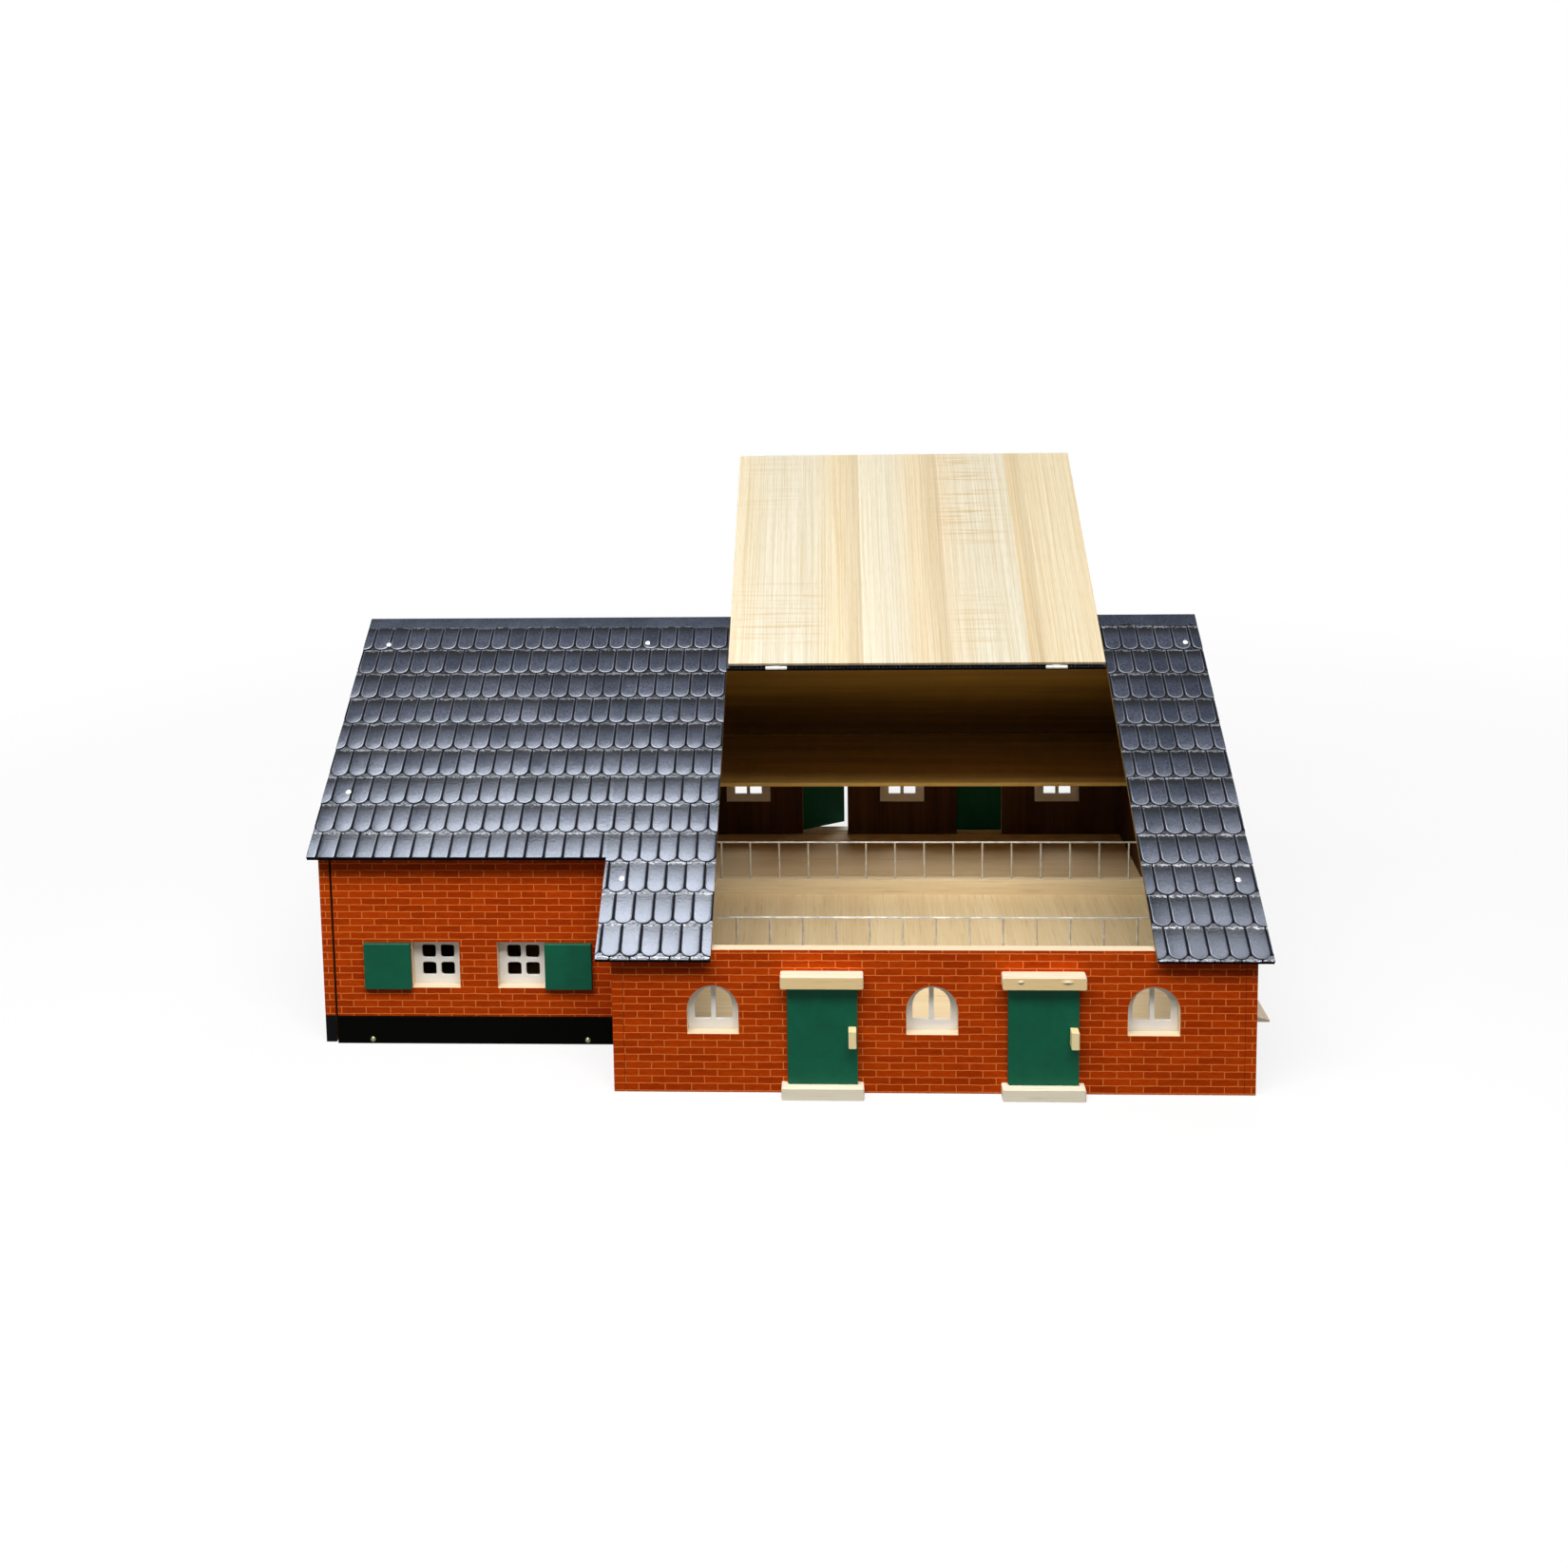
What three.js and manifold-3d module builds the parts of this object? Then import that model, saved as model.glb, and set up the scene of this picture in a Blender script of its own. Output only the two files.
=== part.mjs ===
// Toy barn with opening doors and a lift-up roof flap.
// Millimetres, +Z up. The origin lies on the underside of the hall floor, below the ridge,
// halfway along the hall. The hall's front faces -Y and the wing stands at its -X end.

import * as THREE from 'three';
import { mergeVertices } from 'three/addons/utils/BufferGeometryUtils.js';
import Module from 'manifold-3d';

const wasm = await Module();
wasm.setup();

// Ground plan
const hallWidth = 520;
const barnDepth = 560;
const wingLength = 264.5;
const wingSetback = 79;
const boardThickness = 9;
const fitClearance = 0.3;
const cutOverrun = 4;

// Roof
const roofPitch = THREE.MathUtils.degToRad(36.1);
const wallOverLintel = 17.5;
const roofBoardThickness = 3;
const eaveOverhang = 11;
const wingEaveOverhang = 14.5;
const leftVergeOverhang = 5;
const rightVergeOverhang = 10;
const stepOverhang = 11.5;
const hatchWidth = 356;
const hingeToRidge = 64;
const panelJoint = 0.6;
const flapKerf = 2;
const flapHingeGap = 1;

// Roof tiles
const tileWidth = 16.3;
const leftCourseStep = 28.95;
const rightCourseStep = 28.7;
const courseStep = 28.5;
const tileRelief = 0.9;
const tileTailDepth = 4;
const tailSegments = 3;
const ridgeBandWidth = 12;
const leftFirstTail = 2.45;
const rightFirstTail = 1.35;
const flapFirstTail = 5.5;
const rearFirstTail = 2.4;
const leftColumnShift = -7.2;
const rightColumnShift = -8.7;

// Roof hinges
const hingeWidth = 20;
const hingeInset = 47;
const hingeAxisHeight = 2.2;
const knuckleRadius = 1.7;
const hingePinRadius = 0.8;
const hingeLeafLength = 14;
const hingeLeafThickness = 0.8;
const knuckleShare = 0.34;
const foldedSeatGap = 0.3;

// Windows
const openingPitch = 89;
const windowWidth = 42;
const windowHeight = 41.5;
const windowBottom = 50;
const windowFlange = 4.4;
const windowLip = 1.1;
const windowPlateThickness = 2.4;
const windowRail = 8.5;
const windowStile = 5.6;
const windowMullion = 3.9;
const wingWindowSpacing = 75;
const wingPaneWidth = 12;
const wingPaneHeight = 11.6;
const wingPaneBar = 4.3;
const wingPaneCorner = 2;
const arcSegments = 10;
const pinSides = 8;
const paneCornerSegments = 1;

// Shutters and plinth
const shutterWidth = 41;
const shutterThickness = 4;
const shutterSpacing = 158;
const edgeSoftening = 0.6;
const plinthHeight = 24.3;
const plinthThickness = 2.4;
const gableGroove = 2;

// Small doors
const doorwayWidth = 52;
const doorwayUnderLintel = 2.6;
const passageWidth = 80;
const doorWidth = 57;
const doorThickness = 4.5;
const doorBackGap = 0.5;
const doorEndGap = 0.5;
const pinRadius = 1.5;
const pinLength = 4.5;
const pinHoleClearance = 0.3;
const ajarAngle = THREE.MathUtils.degToRad(30);

// Blocks over and under the doors, and the handles
const blockLength = 67;
const blockDepth = 12.5;
const blockHeight = 9.6;
const blockRounding = 1.1;
const lintelBottom = 94.6;
const handleWidth = 6.4;
const handleHeight = 14;
const handleDepth = 9.5;
const handleBottom = 45.5;
const handleInset = 1;
const handleRounding = 0.6;

// Gable doors and ramp
const gateWidth = 200;
const gateTop = 122;
const gateLeafOverlap = 2.5;
const gateMeetingGap = 1;
const gateLintelLength = 238;
const rampWidth = 316;
const rampLength = 44.5;
const rampTop = 12;
const rampLanding = 12;
const rampToe = 1.5;

// Inside the hall
const deckThickness = 3;
const kerbWidth = 8;
const kerbHeight = 19;
const fenceOffset = 94;
const fenceTop = 68.5;
const wireDiameter = 2;
const wireSides = 8;
const frontFence = { posts: 16, pitch: 30.83 };
const rearFence = { posts: 16, pitch: 30.36 };
const fenceSocketDepth = 6;
const fenceSocketSides = 6;
const loftTop = 129.6;
const loftThickness = 4;
const loftFront = 100;
const loftBackGap = 12;
const battenSize = 10;
const ridgeBeamWidth = 12;
const ridgeBeamDepth = 40;
const rafterThickness = 10;
const rafterDepth = 25;

// Values that follow from the sizes above
const halfHall = hallWidth / 2;
const halfDepth = barnDepth / 2;
const hallInside = halfHall - boardThickness;
const depthInside = halfDepth - boardThickness;
const doorwayTop = lintelBottom - doorwayUnderLintel;
const lowWallTop = lintelBottom + blockHeight + wallOverLintel;
const roofSeatDrop = (roofBoardThickness + fitClearance) / Math.cos(roofPitch);
const ridgeHeight = lowWallTop + roofSeatDrop + halfDepth * Math.tan(roofPitch);
const wingLeft = -halfHall - wingLength;
const wingInside = wingLeft + boardThickness;
const wingFront = -halfDepth + wingSetback;
const wingMiddle = (wingInside - halfHall) / 2;
const eaveRun = halfDepth + eaveOverhang;
const slopeLength = eaveRun / Math.cos(roofPitch);
const eaveHeight = ridgeHeight - eaveRun * Math.tan(roofPitch);
const hingeLine = slopeLength - hingeToRidge;
const wingEave = (wingSetback - wingEaveOverhang + eaveOverhang) / Math.cos(roofPitch);
const roofLeft = wingLeft - leftVergeOverhang;
const roofRight = halfHall + rightVergeOverhang;
const roofStep = -halfHall - stepOverhang;
const windowSpring = windowBottom + windowHeight - windowWidth / 2;
const seatedTilt = 2 * (hingeAxisHeight - tileRelief) - foldedSeatGap;
const foldAngle = Math.PI + Math.asin(seatedTilt / hingeToRidge);
const openingCentres = [-2, 0, 2].map((step) => step * openingPitch);
const doorCentres = [-1, 1].map((step) => step * openingPitch);
const flapSheet = { firstTail: flapFirstTail, step: courseStep, columnShift: 0 };

// Materials
const brick = finish(0xaa3a0c, 0.7);
const paleWood = finish(0xecd9b4, 0.6);
const rawWood = finish(0xb98a4e, 0.7);
const creamPaint = finish(0xf6ead0, 0.5);
const greenPaint = finish(0x1e5c48, 0.45);
const blackPaint = finish(0x0c0c0d, 0.4);
const slate = finish(0x4a5060, 0.5);
const whitePlastic = finish(0xf2f0ea, 0.4);
const galvanised = finish(0xa7abb0, 0.35, 0.9);

function finish(color, roughness, metalness = 0) {
  return new THREE.MeshStandardMaterial({ color, roughness, metalness });
}

// Height at which something below the roof boards touches them, at the place y across the barn
function roofSeat(y) {
  return ridgeHeight - roofSeatDrop - Math.abs(y) * Math.tan(roofPitch);
}

// Solids

function solidOf(geometry) {
  const bare = geometry.clone();
  bare.deleteAttribute('normal');
  bare.deleteAttribute('uv');
  const merged = mergeVertices(bare);
  return new wasm.Manifold(new wasm.Mesh({
    numProp: 3,
    vertProperties: new Float32Array(merged.attributes.position.array),
    triVerts: new Uint32Array(merged.index.array),
  }));
}

function geometryOf(solid) {
  const mesh = solid.getMesh();
  const geometry = new THREE.BufferGeometry();
  geometry.setAttribute('position', new THREE.BufferAttribute(mesh.vertProperties, 3));
  geometry.setIndex(new THREE.BufferAttribute(mesh.triVerts, 1));
  geometry.computeVertexNormals();
  return geometry;
}

function joined(...geometries) {
  return geometryOf(geometries.map(solidOf).reduce((whole, piece) => whole.add(piece)));
}

function cutBy(geometry, ...tools) {
  return geometryOf(tools.map(solidOf).reduce((rest, tool) => rest.subtract(tool), solidOf(geometry)));
}

function common(geometry, other) {
  return geometryOf(solidOf(geometry).intersect(solidOf(other)));
}

function boxBetween(low, high) {
  const size = high.map((value, axis) => value - low[axis]);
  const middle = high.map((value, axis) => (value + low[axis]) / 2);
  return new THREE.BoxGeometry(...size).translate(...middle);
}

function cylinderAlongX(radius, from, to, sides) {
  const length = to - from;
  const cylinder = new THREE.CylinderGeometry(radius, radius, length, sides);
  return cylinder.rotateZ(Math.PI / 2).translate((from + to) / 2, 0, 0);
}

function cylinderAlongZ(radius, from, to, sides) {
  const cylinder = new THREE.CylinderGeometry(radius, radius, to - from, sides);
  return cylinder.rotateX(Math.PI / 2).translate(0, 0, (from + to) / 2);
}

// Outlines

function outlineOf(points) {
  return new THREE.Shape(points.map(([x, y]) => new THREE.Vector2(x, y)));
}

function rectangle(left, right, bottom, top) {
  return outlineOf([[left, bottom], [right, bottom], [right, top], [left, top]]);
}

function roundedRectangle(left, right, bottom, top, radius) {
  const shape = new THREE.Shape();
  shape.moveTo(left + radius, bottom);
  shape.absarc(right - radius, bottom + radius, radius, -Math.PI / 2, 0, false);
  shape.absarc(right - radius, top - radius, radius, 0, Math.PI / 2, false);
  shape.absarc(left + radius, top - radius, radius, Math.PI / 2, Math.PI, false);
  shape.absarc(left + radius, bottom + radius, radius, Math.PI, Math.PI * 3 / 2, false);
  return shape;
}

function arch(centre, halfWidth, bottom, spring) {
  const shape = new THREE.Shape();
  shape.moveTo(centre - halfWidth, bottom);
  shape.lineTo(centre + halfWidth, bottom);
  shape.absarc(centre, spring, halfWidth, 0, Math.PI, false);
  return shape;
}

// Boards: an outline drawn as it is seen, given its thickness

function extruded(shape, thickness, curveSegments = arcSegments) {
  return new THREE.ExtrudeGeometry(shape, { depth: thickness, bevelEnabled: false, curveSegments });
}

// Turns an outline drawn in (x, z) and extruded, so that it stands along X
function standAlongX(geometry) {
  return geometry.rotateX(Math.PI / 2);
}

// Turns an outline drawn in (y, z) and extruded, so that it stands along Y
function standAlongY(geometry) {
  const yAxis = new THREE.Vector3(0, 1, 0);
  const zAxis = new THREE.Vector3(0, 0, 1);
  const xAxis = new THREE.Vector3(1, 0, 0);
  return geometry.applyMatrix4(new THREE.Matrix4().makeBasis(yAxis, zAxis, xAxis));
}

// A board and the openings sawn right through it, each an outline of its own
function sawn(shape, thickness, openings, curveSegments) {
  const blank = extruded(shape, thickness);
  const saws = openings.map((opening) => (
    extruded(opening, thickness + 2 * cutOverrun, curveSegments).translate(0, 0, -cutOverrun)
  ));
  return saws.length > 0 ? cutBy(blank, ...saws) : blank;
}

function boardAlongX(shape, frontY, thickness, openings = [], curveSegments = arcSegments) {
  const board = sawn(shape, thickness, openings, curveSegments);
  return standAlongX(board).translate(0, frontY + thickness, 0);
}

function boardAlongY(shape, leftX, thickness, openings = []) {
  return standAlongY(sawn(shape, thickness, openings)).translate(leftX, 0, 0);
}

function flatBoard(shape, bottomZ, thickness) {
  return extruded(shape, thickness).translate(0, 0, bottomZ);
}

// A block with all its edges rounded, lying along X, drawn by its cross-section
function roundedBlock(length, depth, height, radius) {
  const core = length - 2 * radius;
  const section = rectangle(radius, depth - radius, radius, height - radius);
  const settings = { depth: core, bevelThickness: radius, bevelSize: radius, bevelSegments: 2, curveSegments: 2 };
  return standAlongY(new THREE.ExtrudeGeometry(section, settings)).translate(-core / 2, 0, 0);
}

// Walls

function gableOutline(frontY, backY) {
  const top = [[backY, roofSeat(backY)], [0, roofSeat(0)], [frontY, roofSeat(frontY)]];
  return outlineOf([[frontY, 0], [backY, 0], ...top]);
}

function doorway(centre) {
  return rectangle(centre - doorwayWidth / 2, centre + doorwayWidth / 2, boardThickness, doorwayTop);
}

function archedOpening(centre) {
  return arch(centre, windowWidth / 2, windowBottom, windowSpring);
}

function hallOpenings() {
  return [...openingCentres.map(archedOpening), ...doorCentres.map(doorway)];
}

function frontWall() {
  const reach = hallInside - fitClearance;
  const shape = rectangle(-reach, reach, 0, lowWallTop);
  return boardAlongX(shape, -halfDepth, boardThickness, hallOpenings());
}

function rearWall() {
  const shape = rectangle(wingInside + fitClearance, hallInside - fitClearance, 0, lowWallTop);
  return boardAlongX(shape, depthInside, boardThickness, hallOpenings());
}

function wingWindowCentres() {
  return [-1, 1].map((side) => wingMiddle + side * wingWindowSpacing / 2);
}

function wingFrontWall() {
  const shape = rectangle(wingInside + gableGroove, -halfHall - fitClearance, 0, roofSeat(wingFront));
  const half = windowWidth / 2;
  const openings = wingWindowCentres().map((centre) => (
    rectangle(centre - half, centre + half, windowBottom, windowBottom + windowHeight)
  ));
  return boardAlongX(shape, wingFront, boardThickness, openings);
}

function leftGable() {
  return boardAlongY(gableOutline(wingFront, halfDepth), wingLeft, boardThickness);
}

// A passage leads from the hall into the wing, and the ridge beam passes through a slot at the peak
function partitionGable() {
  const outline = gableOutline(-halfDepth, depthInside - fitClearance);
  const passage = rectangle(-passageWidth / 2, passageWidth / 2, boardThickness, doorwayTop);
  const gable = boardAlongY(outline, -halfHall, boardThickness, [passage]);
  const half = ridgeBeamWidth / 2 + fitClearance;
  const bottom = roofSeat(0) - ridgeBeamDepth - fitClearance;
  const from = [-halfHall - cutOverrun, -half, bottom];
  const to = [-hallInside + cutOverrun, half, ridgeHeight];
  return cutBy(gable, boxBetween(from, to));
}

function rightGable() {
  const gateway = rectangle(-gateWidth / 2, gateWidth / 2, rampTop, gateTop);
  return boardAlongY(gableOutline(-halfDepth, halfDepth), hallInside, boardThickness, [gateway]);
}

// Windows: plates fixed behind their openings

function archedPane(side) {
  const inner = windowMullion / 2;
  const outer = windowWidth / 2 - windowStile;
  const bottom = windowBottom + windowRail;
  const turn = Math.acos(inner / outer);
  const points = [[inner, bottom], [outer, bottom]];
  for (let step = 0; step <= arcSegments / 2; step += 1) {
    const angle = turn * step / (arcSegments / 2);
    points.push([outer * Math.cos(angle), windowSpring + outer * Math.sin(angle)]);
  }
  return outlineOf(points.map(([x, z]) => [side * x, z]));
}

function archedWindow(frontY) {
  const shape = arch(0, windowWidth / 2 + windowFlange, windowBottom - windowLip, windowSpring);
  return boardAlongX(shape, frontY, windowPlateThickness, [archedPane(-1), archedPane(1)]);
}

function wingWindow() {
  const half = windowWidth / 2 + windowFlange;
  const bottom = windowBottom - windowLip;
  const shape = rectangle(-half, half, bottom, windowBottom + windowHeight + windowFlange);
  const firstPane = windowBottom + windowRail - windowLip;
  const panes = [[-1, 0], [0, 0], [-1, 1], [0, 1]].map(([column, row]) => {
    const left = column * (wingPaneWidth + wingPaneBar) + wingPaneBar / 2;
    const low = firstPane + row * (wingPaneHeight + wingPaneBar);
    return roundedRectangle(left, left + wingPaneWidth, low, low + wingPaneHeight, wingPaneCorner);
  });
  const frontY = wingFront + boardThickness + fitClearance;
  return boardAlongX(shape, frontY, windowPlateThickness, panes, paneCornerSegments);
}

function shutter() {
  const settings = {
    depth: shutterThickness - 2 * edgeSoftening,
    bevelThickness: edgeSoftening,
    bevelSize: edgeSoftening,
    bevelSegments: 1,
  };
  const half = shutterWidth / 2 - edgeSoftening;
  const shape = rectangle(-half, half, windowBottom + edgeSoftening, windowBottom + windowHeight - edgeSoftening);
  const panel = new THREE.ExtrudeGeometry(shape, settings).rotateX(Math.PI / 2);
  return panel.translate(0, wingFront - fitClearance - edgeSoftening, 0);
}

function wingPlinth() {
  const shape = rectangle(wingInside + gableGroove, -halfHall - fitClearance, 0, plinthHeight);
  return boardAlongX(shape, wingFront - fitClearance - plinthThickness, plinthThickness);
}

// Floors

function hallFloor() {
  const x = hallInside - fitClearance;
  const y = depthInside - fitClearance;
  return flatBoard(rectangle(-x, x, -y, y), 0, boardThickness);
}

function wingFloor() {
  const front = wingFront + boardThickness + fitClearance;
  const shape = rectangle(
    wingInside + fitClearance,
    -halfHall - fitClearance,
    front,
    depthInside - fitClearance,
  );
  return flatBoard(shape, 0, boardThickness);
}

function alleyDeck() {
  const x = hallInside - fitClearance;
  const y = fenceOffset - kerbWidth / 2 - fitClearance;
  return flatBoard(rectangle(-x, x, -y, y), boardThickness + fitClearance, deckThickness);
}

// Feed fences of bent wire, standing in drilled kerbs

function fencePostPlaces(fence) {
  const first = -(fence.posts - 1) * fence.pitch / 2;
  return Array.from({ length: fence.posts }, (_, index) => first + index * fence.pitch);
}

function kerb(fence) {
  const x = hallInside - fitClearance;
  const bottom = boardThickness + fitClearance;
  const top = bottom + kerbHeight;
  const bar = boxBetween([-x, -kerbWidth / 2, bottom], [x, kerbWidth / 2, top]);
  const radius = wireDiameter / 2 + pinHoleClearance;
  const sockets = fencePostPlaces(fence).map((place) => (
    cylinderAlongZ(radius, top - fenceSocketDepth, top + cutOverrun, fenceSocketSides)
      .translate(place, 0, 0)
  ));
  return cutBy(bar, ...sockets);
}

function feedFence(fence) {
  const radius = wireDiameter / 2;
  const foot = boardThickness + fitClearance + kerbHeight - fenceSocketDepth + fitClearance;
  const places = fencePostPlaces(fence);
  const railHeight = fenceTop - radius;
  const reach = hallInside - fitClearance;
  const rail = cylinderAlongX(radius, -reach, reach, wireSides);
  rail.translate(0, 0, railHeight);
  const posts = places.map((place) => (
    cylinderAlongZ(radius, foot, railHeight, wireSides).translate(place, 0, 0)
  ));
  return joined(rail, ...posts);
}

// Loft and the beams and battens that carry it and the roof

function loftFloor() {
  const x = hallInside - fitClearance;
  const back = halfDepth - loftBackGap;
  return flatBoard(rectangle(-x, x, loftFront, back), loftTop - loftThickness, loftThickness);
}

function loftBatten(side) {
  const top = loftTop - loftThickness - fitClearance;
  const outer = hallInside - fitClearance;
  const ends = [side * outer, side * (outer - battenSize)].sort((a, b) => a - b);
  const front = loftFront + battenSize;
  const back = halfDepth - loftBackGap - battenSize;
  return boxBetween([ends[0], front, top - battenSize], [ends[1], back, top]);
}

function ridgeBeam() {
  const left = wingInside + rafterThickness + 2 * fitClearance;
  const right = hallInside - fitClearance;
  const half = ridgeBeamWidth / 2;
  const bottom = roofSeat(0) - ridgeBeamDepth;
  const top = [[half, roofSeat(half)], [0, roofSeat(0)], [-half, roofSeat(half)]];
  return boardAlongY(outlineOf([[-half, bottom], [half, bottom], ...top]), left, right - left);
}

// A pair of rafters cut from one board, inside the left gable
function rafterPair() {
  const front = wingFront + boardThickness + fitClearance;
  const back = depthInside - fitClearance;
  const ends = [back, 0, front];
  const upper = ends.map((y) => [y, roofSeat(y)]);
  const lower = ends.map((y) => [y, roofSeat(y) - rafterDepth]).reverse();
  return boardAlongY(outlineOf([...lower, ...upper]), wingInside + fitClearance, rafterThickness);
}

// Doors: the hinge edge is round about the pin, which stands at the local origin

function doorLeaf(width, bottom, top) {
  const half = doorThickness / 2;
  const shape = new THREE.Shape();
  shape.moveTo(width - half, -half);
  shape.lineTo(width - half, half);
  shape.absarc(0, 0, half, Math.PI / 2, Math.PI * 3 / 2, false);
  const panel = flatBoard(shape, bottom, top - bottom);
  return joined(panel, cylinderAlongZ(pinRadius, bottom - pinLength, top + pinLength, pinSides));
}

function pinHole(from, to) {
  return cylinderAlongZ(pinRadius + pinHoleClearance, from, to, pinSides);
}

const doorBottom = blockHeight + fitClearance + doorEndGap;
const doorTop = lintelBottom - doorEndGap;
const pinDistance = doorBackGap + doorThickness / 2;
const pinOffset = (doorWidth - doorThickness) / 2;

function lintelBlock(length, bottom, pinPlaces) {
  const block = roundedBlock(length, blockDepth, blockHeight, blockRounding).translate(0, fitClearance, bottom);
  const hole = pinHole(bottom - cutOverrun, bottom + pinLength + doorEndGap);
  return cutBy(block, ...pinPlaces.map((place) => hole.clone().translate(place, pinDistance, 0)));
}

function sillBlock(length, pinPlace) {
  const block = roundedBlock(length, blockDepth, blockHeight, blockRounding).translate(0, fitClearance, fitClearance);
  const top = blockHeight + fitClearance;
  const hole = pinHole(top - pinLength - doorEndGap, top + cutOverrun);
  return cutBy(block, hole.translate(pinPlace, pinDistance, 0));
}

function handleBlock(bottom) {
  const block = roundedBlock(handleWidth, handleDepth, handleHeight, handleRounding);
  return block.translate(0, 0, bottom);
}

// Ramp and gable doors

const rampStart = halfHall + fitClearance;
const gatePin = gateWidth / 2 + gateLeafOverlap - doorThickness / 2;
const gateLeafWidth = gatePin + doorThickness / 2 - gateMeetingGap / 2;

function ramp() {
  const start = rampStart;
  const end = rampStart + rampLength;
  const landing = rampStart + rampLanding;
  const shape = outlineOf([[start, 0], [end, 0], [end, rampToe], [landing, rampTop], [start, rampTop]]);
  const wedge = boardAlongX(shape, -rampWidth / 2, rampWidth);
  const holes = [-1, 1].map((side) => (
    pinHole(rampTop - pinLength - doorEndGap, rampTop + cutOverrun)
      .translate(halfHall + pinDistance, side * gatePin, 0)
  ));
  return cutBy(wedge, ...holes);
}

// Roof panels, drawn in the slope's own frame: u along the ridge, v up the slope from the eave,
// w square to the boards, with the boards' upper face at w = 0

// The lower edge of a course, from tile to tile, each with an arc for its tail
function tailPoints(first, last, shift) {
  const radius = (tileWidth * tileWidth / 4 + tileTailDepth * tileTailDepth) / (2 * tileTailDepth);
  const points = [];
  for (let tile = first; tile < last; tile += 1) {
    for (let step = 0; step < tailSegments; step += 1) {
      const across = (step / tailSegments - 1 / 2) * tileWidth;
      const rise = radius - Math.sqrt(radius * radius - across * across);
      points.push([(tile + shift + 1 / 2) * tileWidth + across, rise]);
    }
  }
  return points;
}

// One course of tiles, its upper end sunk into the board and its tails raised clear of it
function tileCourse(left, right, tail, step, shift, hasRoundTails) {
  const first = Math.floor(left / tileWidth) - 1;
  const last = Math.ceil(right / tileWidth) + 1;
  const from = (first + shift) * tileWidth;
  const to = (last + shift) * tileWidth;
  const head = step + tileTailDepth;
  const tails = hasRoundTails ? tailPoints(first, last, shift) : [[from, 0]];
  const end = hasRoundTails ? tileTailDepth : 0;
  const seat = roofBoardThickness / 3;
  const plate = extruded(outlineOf([[from, head], ...tails, [to, end], [to, head]]), tileRelief + seat);
  const lean = new THREE.Matrix4().set(
    1, 0, 0, 0,
    0, 1, 0, tail,
    0, -tileRelief / step, 1, -seat,
    0, 0, 0, 1,
  );
  return plate.applyMatrix4(lean);
}

function tiledPanel(left, right, lower, upper, sheet, hasRoundTails = true) {
  const { firstTail, step, columnShift } = sheet;
  const board = boxBetween([left, lower, -roofBoardThickness], [right, upper, 0]);
  const courses = [];
  const highestTail = slopeLength - ridgeBandWidth - step / 2;
  for (let index = -1; firstTail + index * step < Math.min(upper, highestTail); index += 1) {
    const tail = firstTail + index * step;
    if (tail + step + tileTailDepth > lower) {
      const shift = (index + 2) % 2 / 2 + columnShift / tileWidth;
      courses.push(tileCourse(left, right, tail, step, shift, hasRoundTails));
    }
  }
  if (upper > slopeLength - ridgeBandWidth) {
    const band = [[left, slopeLength - ridgeBandWidth, -roofBoardThickness / 2], [right, upper, tileRelief]];
    courses.push(boxBetween(...band));
  }
  const limits = boxBetween([left, lower, -roofBoardThickness], [right, upper, tileRelief * 2]);
  return common(joined(board, ...courses), limits);
}

// Everything beyond the vertical plane through the ridge is mitred away
function mitred(panel) {
  const reach = wingLength + hallWidth;
  const tool = boxBetween([-reach, -fitClearance / 2, -ridgeHeight], [reach, ridgeHeight, ridgeHeight]);
  const tilt = new THREE.Matrix4().makeRotationX(-roofPitch);
  const shift = new THREE.Matrix4().makeTranslation(0, slopeLength, 0);
  return cutBy(panel, tool.applyMatrix4(tilt).applyMatrix4(shift));
}

function leftRoofPanel() {
  const upper = slopeLength + roofBoardThickness;
  const sheet = { firstTail: leftFirstTail, step: leftCourseStep, columnShift: leftColumnShift };
  const panel = tiledPanel(roofLeft, -hatchWidth / 2, 0, upper, sheet);
  const low = [roofLeft - cutOverrun, -cutOverrun, -cutOverrun];
  const step = boxBetween(low, [roofStep, wingEave, cutOverrun]);
  return mitred(cutBy(panel, step));
}

function rightRoofPanel() {
  const upper = slopeLength + roofBoardThickness;
  const sheet = { firstTail: rightFirstTail, step: rightCourseStep, columnShift: rightColumnShift };
  return mitred(tiledPanel(hatchWidth / 2, roofRight, 0, upper, sheet));
}

// The rear sheet's courses are cut straight
function rearRoofPanel() {
  const upper = slopeLength + roofBoardThickness;
  const sheet = { firstTail: rearFirstTail, step: courseStep, columnShift: 0 };
  return mitred(tiledPanel(-roofRight, -roofLeft, 0, upper, sheet, false));
}

function hingePlaces() {
  return [-1, 1].map((side) => side * (hatchWidth / 2 - hingeInset));
}

function leafRecess(place, from, to) {
  const half = hingeWidth / 2 + fitClearance;
  return boxBetween([place - half, from, 0], [place + half, to, cutOverrun]);
}

function ridgePanel() {
  const half = hatchWidth / 2 - panelJoint;
  const lower = hingeLine + flapHingeGap;
  const upper = slopeLength + roofBoardThickness;
  const panel = tiledPanel(-half, half, lower, upper, flapSheet);
  const reach = hingeLine + hingeLeafLength + fitClearance;
  return mitred(cutBy(panel, ...hingePlaces().map((place) => leafRecess(place, hingeLine, reach))));
}

// The flap is drawn closed, and then moved so that the hinge axis is its local origin
function roofFlap() {
  const half = hatchWidth / 2 - flapKerf;
  const panel = tiledPanel(-half, half, 0, hingeLine - flapHingeGap, flapSheet);
  const reach = hingeLine - hingeLeafLength - fitClearance;
  const recesses = hingePlaces().map((place) => leafRecess(place, reach, hingeLine));
  return cutBy(panel, ...recesses).translate(0, -hingeLine, -hingeAxisHeight);
}

// Hinge leaves about their axis; side is 1 up the slope and -1 down the slope

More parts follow.
